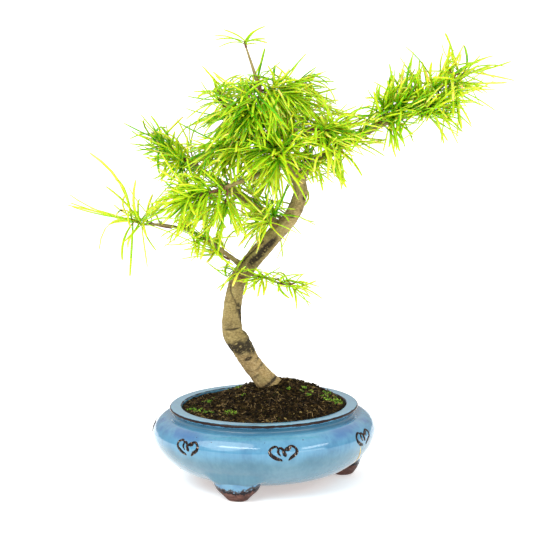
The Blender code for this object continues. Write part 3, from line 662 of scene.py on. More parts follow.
# Patches of moss, as (x, y, radius, how bright)
MOSS = (
    (-0.0655, -0.0180, 0.0120, 0.2), (-0.0550, -0.0290, 0.0060, 0.2),
    (-0.0325, -0.0360, 0.0085, 0.9), (0.0700, -0.0150, 0.0125, 0.8),
    (0.0640, -0.0030, 0.0080, 0.5), (0.0430, -0.0060, 0.0075, 1.0),
    (0.0270, -0.0090, 0.0038, 0.6), (0.0470, -0.0180, 0.0045, 0.3),
    (-0.0208, -0.0027, 0.0030, 0.6), (-0.0560, 0.0200, 0.0070, 0.3),
    (0.0100, 0.0560, 0.0120, 0.5), (-0.0300, 0.0480, 0.0090, 0.3), (0.0500, 0.0500, 0.0100, 0.5),
)


def soil_level(x, y):
    """The height of the smooth mound with its collar beside the trunk."""
    place = Vector((x, y))
    away = place - MOUND_CENTRE
    if away.length < 1e-6:
        return SOIL_EDGE + SOIL_RISE
    edge = RIM_INSIDE - MOUND_CENTRE.length * max(
        0.0, away.normalized().dot(MOUND_CENTRE.normalized())
    )
    share = min(away.length / edge, 1.0)
    near = (place - COLLAR_CENTRE).length / COLLAR_RADIUS
    return SOIL_EDGE + SOIL_RISE * (1 - share**2) + COLLAR_RISE * math.exp(-(near**2))


def soil_surface(x, y):
    """The mound with the heap at the trunk's foot and its lumps."""
    place = Vector((x, y, 0.0))
    lumps = noise.fractal(place * 90, 0.9, 2.1, 4) * LUMP_HEIGHT
    grit = noise.fractal(place * 380, 0.8, 2.0, 3) * GRIT_HEIGHT
    edge = smooth_step(LUMPS_LOW, LUMPS_FULL, math.hypot(x, y))
    heap = HEAP_RISE * math.exp(-(((Vector((x, y)) - HEAP_CENTRE).length / HEAP_RADIUS) ** 2))
    return soil_level(x, y) + heap + (lumps + grit) * (0.35 + 0.65 * edge) - SOIL_SINK


def soil_look():
    look = Look("moist_soil", roughness=0.95)
    place = look.coordinates()
    tone = look.noise(place, 260.0, 6.0, 0.72)
    colour = look.ramp(
        tone, (0.40, (0.0020, 0.0011, 0.0004)), (0.51, (0.012, 0.0068, 0.0020)),
        (0.60, (0.046, 0.028, 0.0075)), (0.72, (0.160, 0.105, 0.030))
    )
    green = look.span(look.noise(place, 62.0, 4.0, 0.7), 0.60, 0.70)
    colour = look.mix(look.times(green, 0.40), colour, (0.050, 0.075, 0.012))
    look.surface({
        "Base Color": colour, "Specular IOR Level": 0.08,
        "Normal": look.bump(look.noise(place, 600.0, 4.0, 0.7), 1.0, 0.0025),
    })
    return look.material


def make_soil():
    """Rings out to the rim, then one lower ring: the skirt to it makes the soil a closed body."""
    shape = Shape()
    points = [Vector((0.0, 0.0, soil_surface(0.0, 0.0)))]
    faces = [(0, 1 + k, 1 + (k + 1) % SOIL_AROUND) for k in range(SOIL_AROUND)]
    for ring in range(1, SOIL_RINGS + 2):
        radius = (RIM_INSIDE - SOIL_GAP) * min(ring, SOIL_RINGS) / SOIL_RINGS
        first = len(points)
        for k in range(SOIL_AROUND):
            angle = math.tau * k / SOIL_AROUND
            x = radius * math.cos(angle)
            y = radius * math.sin(angle)
            z = soil_surface(x, y) if ring <= SOIL_RINGS else SOIL_UNDERSIDE
            points.append(Vector((x, y, z)))
            if ring > 1:
                a = first + k
                b = first + (k + 1) % SOIL_AROUND
                faces.append((a - SOIL_AROUND, a, b, b - SOIL_AROUND))
    faces.append(tuple(reversed(range(first, first + SOIL_AROUND))))
    shape.add(points, faces)
    piece("soil_mound", shape.mesh("soil_mound"), [soil_look()], ["soil"])


def random_spot(rng, reach):
    angle = rng.uniform(0, math.tau)
    radius = reach * math.sqrt(rng.random())
    return radius * math.cos(angle), radius * math.sin(angle)


def clear_of_trunk(x, y, room=0.0):
    return (Vector((x, y)) - TRUNK_FOOT).length > TRUNK_FOOT_RADIUS + room


def make_crumbs(rng):
    """Bits of bark and grit lying on the soil."""
    looks = []
    for name, dark, light in (
        ("crumb_black", (0.002, 0.0013, 0.0005), (0.014, 0.009, 0.003)),
        ("crumb_brown", (0.014, 0.008, 0.0025), (0.070, 0.042, 0.013)),
        ("crumb_tan", (0.090, 0.058, 0.017), (0.280, 0.200, 0.070)),
    ):
        look = Look(name, roughness=0.9)
        colour = look.wander(500.0, dark, light, 0.7)
        look.surface({"Base Color": colour, "Specular IOR Level": 0.1})
        looks.append(look.material)
    shape = Shape()
    for _ in range(CRUMBS):
        x, y = random_spot(rng, CRUMB_REACH)
        if not clear_of_trunk(x, y):
            continue
        size = 0.0005 + 0.0020 * rng.random() ** 2.6
        room = CRUMB_EDGE - math.hypot(x, y)
        size = min(size, max(room, 0.0003))
        kind = rng.choices((0, 1, 2), (5, 6, 1))[0]
        add_crumb(shape, Vector((x, y, soil_surface(x, y) + size * 0.2)), size, kind, rng)
    piece("soil_crumbs", shape.mesh("soil_crumbs", smooth=False), looks)


def add_crumb(shape, centre, size, kind, rng):
    """A rough lump with eight faces, squashed and turned at random."""
    turn = Matrix.Rotation(rng.uniform(0, 6.3), 3, "Z") @ Matrix.Rotation(rng.uniform(0, 3.1), 3, "X")
    stretch = (rng.uniform(0.6, 1.7), rng.uniform(0.5, 1.0), rng.uniform(0.35, 0.8))
    corners = ((1, 0, 0), (-1, 0, 0), (0, 1, 0), (0, -1, 0), (0, 0, 1), (0, 0, -1))
    points = [
        centre + turn @ Vector(c * s * size * rng.uniform(0.7, 1.2) for c, s in zip(corner, stretch))
        for corner in corners
    ]
    faces = [
        (0, 2, 4), (2, 1, 4), (1, 3, 4), (3, 0, 4), (2, 0, 5), (1, 2, 5), (3, 1, 5), (0, 3, 5)
    ]
    shape.add(points, faces, kind)


def make_fibres(rng):
    """Thin roots and straws that lie over the soil."""
    dark = Look("fibre_dark", (0.045, 0.026, 0.014), 0.85)
    tan = Look("fibre_tan", (0.230, 0.150, 0.065), 0.8)
    for look, low, high in (
        (dark, (0.018, 0.010, 0.003), (0.085, 0.050, 0.016)),
        (tan, (0.120, 0.070, 0.022), (0.340, 0.225, 0.090)),
    ):
        look.surface({"Base Color": look.wander(300.0, low, high)})
    shape = Shape()
    for _ in range(FIBRES):
        x, y = random_spot(rng, FIBRE_START)
        if not clear_of_trunk(x, y, 0.002):
            continue
        heading = rng.uniform(0, math.tau)
        length = rng.uniform(0.003, 0.011)
        steps = 6
        line = []
        for k in range(steps):
            if math.hypot(x, y) > LITTER_REACH or not clear_of_trunk(x, y):
                break
            hop = 0.0006 + 0.0012 * math.sin(math.pi * k / (steps - 1)) * rng.random()
            line.append(Vector((x, y, soil_surface(x, y) + hop)))
            heading += rng.uniform(-0.8, 0.8)
            x += math.cos(heading) * length / steps
            y += math.sin(heading) * length / steps
        if len(line) < 3:
            continue
        thick = rng.uniform(0.00013, 0.00034)
        radii = [thick * (1 - 0.6 * k / len(line)) for k in range(len(line))]
        tube(shape, line, radii, 4, UP, rng.choices((0, 1), (3, 2))[0])
    piece("soil_fibres", shape.mesh("soil_fibres"), [dark.material, tan.material])


def make_moss(rng):
    """Cushions of tiny leaves."""
    looks = []
    for name, low, high in (
        ("moss_dark", (0.030, 0.085, 0.006), (0.075, 0.190, 0.012)),
        ("moss_green", (0.110, 0.280, 0.010), (0.210, 0.430, 0.020)),
        ("moss_bright", (0.280, 0.500, 0.025), (0.460, 0.660, 0.060)),
        ("moss_straw", (0.420, 0.380, 0.090), (0.620, 0.540, 0.200)),
    ):
        look = Look(name, roughness=0.7)
        look.surface({"Base Color": look.wander(240.0, low, high)})
        looks.append(look.material)
    shape = Shape()
    for x0, y0, size, bright in MOSS:
        weights = (4 - 3 * bright, 5, 1 + 4 * bright, 0.2 + 0.8 * bright)
        for _ in range(int(size * size * MOSS_DENSITY)):
            dx, dy = random_spot(rng, size)
            patchy = noise.noise(Vector((x0 + dx, y0 + dy, 0.3)) * 170)
            if patchy < 0.02 + 0.5 * (math.hypot(dx, dy) / size - 0.6):
                continue
            x = x0 + dx
            y = y0 + dy
            if math.hypot(x, y) > LITTER_REACH or not clear_of_trunk(x, y, 0.001):
                continue
            foot = Vector((x, y, soil_surface(x, y) - 0.0002))
            kind = rng.choices((0, 1, 2, 3), weights)[0]
            for _ in range(3):
                out = Vector((rng.uniform(-1, 1), rng.uniform(-1, 1), rng.uniform(0.5, 1.6)))
                tip = foot + out.normalized() * rng.uniform(0.0009, 0.0021)
                across = out.cross(UP).normalized() * 0.00030
                middle = (foot + tip) / 2
                shape.add([foot, middle + across, tip, middle - across], [(0, 1, 2, 3)], kind)
    piece("moss", shape.mesh("moss", smooth=False), looks)


# The trunk and its boughs

TRUNK = (
    (0.0120, 0.0150, 0.0860, 0.0138),
    (0.0030, 0.0140, 0.0980, 0.0110),
    (-0.0118, 0.0120, 0.1168, 0.0097),
    (-0.0197, 0.0105, 0.1325, 0.0108),
    (-0.0246, 0.0095, 0.1400, 0.0117),
    (-0.0303, 0.0085, 0.1505, 0.0106),
    (-0.0304, 0.0060, 0.1704, 0.0092),
    (-0.0246, 0.0040, 0.2019, 0.0084),
    (-0.0111, 0.0030, 0.2216, 0.0087),
    (0.0058, 0.0020, 0.2418, 0.0085),
    (0.0200, 0.0010, 0.2568, 0.0080),
    (0.0311, 0.0000, 0.2699, 0.0074),
    (0.0398, -0.0010, 0.2912, 0.0070),
    (0.0377, -0.0020, 0.3051, 0.0066),
    (0.0268, -0.0030, 0.3243, 0.0051),
    (0.0152, -0.0030, 0.3404, 0.0039),
    (0.0058, -0.0020, 0.3701, 0.0028),
    (0.0003, -0.0030, 0.3969, 0.0020),
    (-0.0118, -0.0060, 0.4374, 0.0009),
)
TRUNK_AROUND = 110
TRUNK_STEPS = 28
TRUNK_LINE = smooth_line(TRUNK, TRUNK_STEPS)

# A bough leaves the trunk at a height, or goes on from another bough's tip, and bends over its
# knee to its own tip.
Bough = namedtuple("Bough", "holder height knee tip root_radius tip_radius")
BOUGHS = {
    "right_bough": Bough(
        "trunk", 0.305, (0.053, -0.004, 0.327), (0.1184, -0.015, 0.3592), 0.0048, 0.003),
    "right_outer_bough": Bough(
        "right_bough", None, (0.14, -0.017, 0.3685), (0.1626, -0.015, 0.3737), 0.0027, 0.0019),
    "right_low_bough": Bough(
        "trunk", 0.313, (0.042, -0.018, 0.319), (0.06, -0.022, 0.332), 0.0016, 0.0012),
    "right_front_bough": Bough(
        "trunk", 0.331, (0.03, -0.02, 0.35), (0.0494, -0.026, 0.3573), 0.0018, 0.0013),
    "left_bough": Bough(
        "trunk", 0.256, (-0.0275, 0.023, 0.2952), (-0.0761, 0.022, 0.3242), 0.0042, 0.0028),
    "front_left_bough": Bough(
        "trunk", 0.322, (0.008, -0.016, 0.3168), (-0.0348, -0.037, 0.3025), 0.0024, 0.0018),
    "centre_left_bough": Bough(
        "trunk", 0.341, (-0.002, -0.008, 0.349), (-0.0193, -0.008, 0.3464), 0.002, 0.0015),
    "lower_left_bough": Bough(
        "trunk", 0.216, (-0.039, -0.005, 0.236), (-0.0576, -0.012, 0.2509), 0.0024, 0.0018),
    "lower_left_outer_bough": Bough(
        "lower_left_bough", None, (-0.081, -0.018, 0.265), (-0.1091, -0.025, 0.2661), 0.0017, 0.0013),
    "lower_right_bough": Bough(
        "trunk", 0.213, (-0.008, -0.016, 0.212), (0.0059, -0.016, 0.2093), 0.0017, 0.0012),
    "upper_left_bough": Bough(
        "trunk", 0.357, (-0.012, -0.008, 0.379), (-0.0329, -0.012, 0.3804), 0.0021, 0.0016),
    "upper_right_bough": Bough(
        "trunk", 0.386, (0.015, 0.004, 0.388), (0.031, 0.008, 0.3986), 0.0014, 0.001),
    "window_bough": Bough(
        "trunk", 0.263, (0.014, 0.02, 0.268), (-0.0037, 0.034, 0.2775), 0.0016, 0.0011),
    "back_low_bough": Bough(
        "trunk", 0.29, (0.038, 0.024, 0.296), (0.03, 0.048, 0.302), 0.0026, 0.0018),
    "back_left_bough": Bough(
        "trunk", 0.309, (0.022, 0.03, 0.324), (0.002, 0.062, 0.344), 0.003, 0.002),
    "back_right_bough": Bough(
        "trunk", 0.326, (0.032, 0.028, 0.338), (0.04, 0.058, 0.359), 0.0024, 0.0017),
    "back_upper_bough": Bough(
        "trunk", 0.36, (0.0, 0.022, 0.372), (-0.01, 0.044, 0.383), 0.0019, 0.0013),
}
BOUGH_STEPS = 30
BOUGH_AROUND = 22


def trunk_at(height):
    """The trunk's centre, radius and direction at a height."""
    for low, high in zip(TRUNK_LINE, TRUNK_LINE[1:]):
        if high.z >= height:
            share = (height - low.z) / (high.z - low.z)
            point = low.lerp(high, share)
            return point.to_3d(), point.w, (high - low).to_3d().normalized()
    last = TRUNK_LINE[-1]
    return last.to_3d(), last.w, (last - TRUNK_LINE[-2]).to_3d().normalized()


# Marks on the trunk, as (height, angle from the front, half height, half angle, how deep in mm,
# how dark). A negative depth stands proud. Their darkness is partly the bark's own dark scars and
# partly painted shade: in the dents, and as the strips down the trunk's shaded right side at
# heights from 0.166 to 0.179.
MARKS = (
    (0.1412, -62, 0.0040, 46, 0.3, 1.0), (0.1372, -8, 0.0066, 40, 0.5, 1.0),
    (0.1335, 52, 0.0068, 44, 0.4, 1.0), (0.1340, 130, 0.0060, 60, 0.4, 0.9),
    (0.1390, -140, 0.0050, 60, 0.4, 0.9), (0.1425, 85, 0.0030, 40, -0.9, 0.3),
    (0.1285, 25, 0.0012, 40, -0.6, 0.0), (0.1245, 5, 0.0017, 24, 0.6, 1.0),
    (0.0968, 10, 0.0013, 85, 1.0, 1.0), (0.1565, 5, 0.0010, 50, 0.4, 0.9),
    (0.1600, -20, 0.0036, 26, 0.1, 0.5), (0.2345, 5, 0.0105, 24, 2.2, 1.2),
    (0.2440, 12, 0.0060, 22, 1.2, 1.0), (0.2255, -8, 0.0050, 22, 1.0, 1.0),
    (0.2890, 45, 0.0026, 26, 0.5, 1.0), (0.2780, 60, 0.0030, 24, -0.5, 0.6),
    (0.2700, -10, 0.0016, 24, 0.4, 0.9), (0.3160, 70, 0.0024, 45, -0.6, 0.8),
    (0.2050, 40, 0.0035, 60, -0.5, 0.4), (0.1785, 34, 0.0050, 15, 0.2, 0.9),
    (0.1740, 58, 0.0062, 16, 0.3, 1.0), (0.1660, 80, 0.0060, 16, 0.3, 0.9),
    (0.1120, 60, 0.0010, 50, 0.3, 0.7),
    (0.1080, -30, 0.0010, 36, 0.3, 0.7), (0.1190, 70, 0.0012, 40, 0.3, 0.7),
    (0.2100, 150, 0.0060, 40, 0.8, 0.9), (0.2620, 190, 0.0080, 30, 0.9, 1.0),
    (0.1730, 200, 0.0040, 50, 0.5, 0.8),
)
# Dark seams that wind down the trunk, as (height, angle from the front), and their half angle.
# Their darkness is partly their own and partly painted shade in their channels and on the trunk's
# shaded right side.
SEAMS = (
    (((0.2010, -60), (0.1930, -34), (0.1860, 2), (0.1800, 26), (0.1720, 52), (0.1600, 88)), 6),
    (((0.2420, -42), (0.2330, -50), (0.2250, -58), (0.2160, -72)), 9),
    (((0.1545, 95), (0.1480, 80), (0.1420, 70)), 12),
)


def off(angle, turn):
    """How far an angle is from another, in degrees from -180 to 180."""
    return (angle - turn + 180) % 360 - 180


def marks_at(height, angle):
    """(depth, darkness) of the trunk's marks and seams at a place on its bark; the darkness is partly
    painted shade.
    """
    depth = 0.0
    dark = 0.0
    for level, turn, half_height, half_angle, deep, shade in MARKS:
        away = ((height - level) / half_height) ** 2 + (off(angle, turn) / half_angle) ** 2
        if away < 6:
            fade = math.exp(-away)
            depth += deep * 0.001 * fade
            dark = max(dark, shade * min(1.0, 1.8 * fade))
    for seam, half_angle in SEAMS:
        for (high, a), (low, b) in zip(seam, seam[1:]):
            if low <= height <= high:
                turn = lerp(b, a, (height - low) / (high - low))
                fade = math.exp(-((off(angle, turn) / half_angle) ** 2))
                depth += 0.0008 * fade
                dark = max(dark, fade)
    return depth, dark


def bark_tube(name, line, radii, around, marked, rough, nodes, look):
    """A limb with its bark's relief: plates, furrows and the limb's own marks, with a shade value that
    paints shade into its cracks and hollows.
    """
    shape = Shape()
    points = []
    shades = []
    run = 0.0
    places = frames_along(line, FRONT)
    for k, ((centre, _, side, over), radius) in enumerate(zip(places, radii)):
        if k:
            run += (centre - places[k - 1][0]).length
        for j in range(around):
            angle = math.tau * j / around
            out = over * math.cos(angle) + side * math.sin(angle)
            grain = Vector((math.cos(angle), math.sin(angle), 0.0)) * radius
            low = noise.fractal(Vector((grain.x * 110, grain.y * 110, run * 60)), 0.9, 2.0, 3)
            fine = noise.fractal(Vector((grain.x * 520, grain.y * 520, run * 240)), 0.8, 2.1, 3)
            cracks = noise.noise(Vector((grain.x * 330, grain.y * 330, run * 90 + 7)))
            crack = smooth_step(0.16, 0.0, abs(cracks))
            relief = rough * radius * (0.075 * low + 0.028 * fine - 0.022 * crack)
            # Painted shade: the bark is darkened in its cracks and in the low hollows of its relief.
            shade = 0.22 * crack + 0.20 * smooth_step(0.0, -0.8, low + fine * 0.5)
            if marked:
                depth, dark = marks_at(centre.z, math.degrees(angle))
                spot = Vector((grain.x * 300, grain.y * 300, run * 820))
                ragged = noise.fractal(spot, 0.8, 2.0, 3)
                relief -= depth * (0.8 + 0.7 * ragged)
                shade = max(shade, dark * smooth_step(-0.45, 0.15, ragged + 0.35 * dark))
            points.append(centre + out * (radius + relief))
            shades.append(min(shade, 1.0))
    shape.add(points, tube_faces(len(line), around))
    mesh = shape.mesh(name)
    paint(mesh, "shade", shades)
    return piece(name, mesh, [look], nodes)


def bark_look(name, young=0.0):
    """Olive-tan bark with fine cross lines and a greenish cast, redder when young; the shade value paints
    shade into its furrows, dents and seams, and darkens its own dark marks.
    """
    look = Look(name, roughness=0.8)
    place = look.coordinates()
    shade = look.node("Attribute", attribute_name="shade").outputs["Fac"]
    patch = look.noise(place, 55.0, 4.0, 0.65)
    fine = look.noise(look.coordinates(scale=(1.0, 1.0, 3.2)), 300.0, 5.0, 0.7)
    tone = look.plus(look.times(patch, 0.35), look.times(fine, 0.65))
    if young:
        colour = look.ramp(
            tone, (0.35, (0.070, 0.026, 0.014)), (0.52, (0.190, 0.085, 0.040)),
            (0.68, (0.330, 0.190, 0.090))
        )
    else:
        colour = look.ramp(
            tone, (0.34, (0.110, 0.075, 0.025)), (0.43, (0.260, 0.190, 0.068)),
            (0.54, (0.380, 0.290, 0.112)), (0.68, (0.540, 0.430, 0.190))
        )
        z = look.node("SeparateXYZ", {0: place}).outputs[2]
        foot = look.times(look.span(z, 0.134, 0.124), 0.45)
        colour = look.mix(foot, colour, look.ramp(
            tone, (0.36, (0.200, 0.105, 0.040)), (0.50, (0.480, 0.315, 0.140)),
            (0.64, (0.680, 0.500, 0.270))
        ))
        flecks = look.noise(look.coordinates(scale=(1.0, 1.0, 1.8)), 620.0, 3.0)
        flecks = look.span(flecks, 0.60, 0.68)
        colour = look.mix(look.times(flecks, 0.55), colour, (0.090, 0.055, 0.024))
        moss = look.span(look.noise(place, 34.0, 3.0), 0.54, 0.70)
        colour = look.mix(look.times(moss, 0.32), colour, (0.170, 0.180, 0.045))
    # Painted shade from the shade value, together with the trunk's own dark marks.
    colour = look.mix(look.times(shade, 0.94), colour, (0.016, 0.011, 0.006))
    look.surface({
        "Base Color": colour, "Specular IOR Level": 0.3,
        "Normal": look.bump(look.plus(fine, look.noise(place, 900.0, 3.0)), 0.8, 0.0010),
    })
    return look.material


def make_trunk(look):
    start = TRUNK_LINE[0]
    line = [p.to_3d() for p in TRUNK_LINE]
    radii = [p.w for p in TRUNK_LINE]
    obj = bark_tube("trunk_bark", line, radii, TRUNK_AROUND, True, 1.0, ["trunk"], look)
    for vert in obj.data.vertices:
        vert.co.z = max(vert.co.z, start.z)


class Limbs:
    """The lines of the trunk and boughs, and where each one ends."""

    def __init__(self):
        self.lines = {}
        self.tips = {}

    def record(self, name, points, radii):
        self.lines[name] = list(zip(points, radii))
        self.tips[name] = (points[-1], radii[-1], (points[-1] - points[-2]).normalized())

    def part_way(self, name, share):
        """The centre, radius and direction of a limb that share of the way along it."""
        line = self.lines[name]
        k = min(int(share * (len(line) - 1)), len(line) - 2)
        return line[k][0], line[k][1], (line[k + 1][0] - line[k][0]).normalized()

    def meets(self, place, room=0.0003):
        """Whether a place lies inside the wood of any limb."""
        return any(
            (place - centre).length < radius + room
            for line in self.lines.values() for centre, radius in line
        )


def make_bough(name, bough, limbs, look):
    knee = Vector(bough.knee)
    tip = Vector(bough.tip)
    joins = bough.holder != "trunk"
    root = limbs.tips[bough.holder][0] if joins else trunk_at(bough.height)[0]
    points = over_knee(root, knee, tip, BOUGH_STEPS)
    reach = (root - knee).length + (knee - tip).length
    radii = []
    for k in range(BOUGH_STEPS + 1):
        share = k / BOUGH_STEPS
        radius = lerp(bough.root_radius, bough.tip_radius, share)
        if not joins:
            radius += bough.root_radius * 0.55 * math.exp(-((share * reach / 0.012) ** 2))
        knot = math.sin(share * reach * 420 + len(name)) ** 8
        radii.append(radius * (1 + 0.10 * knot))
    bark_tube(f"{name}_bark", points, radii, BOUGH_AROUND, False, 1.15, [name], look)
    limbs.record(name, points, radii)
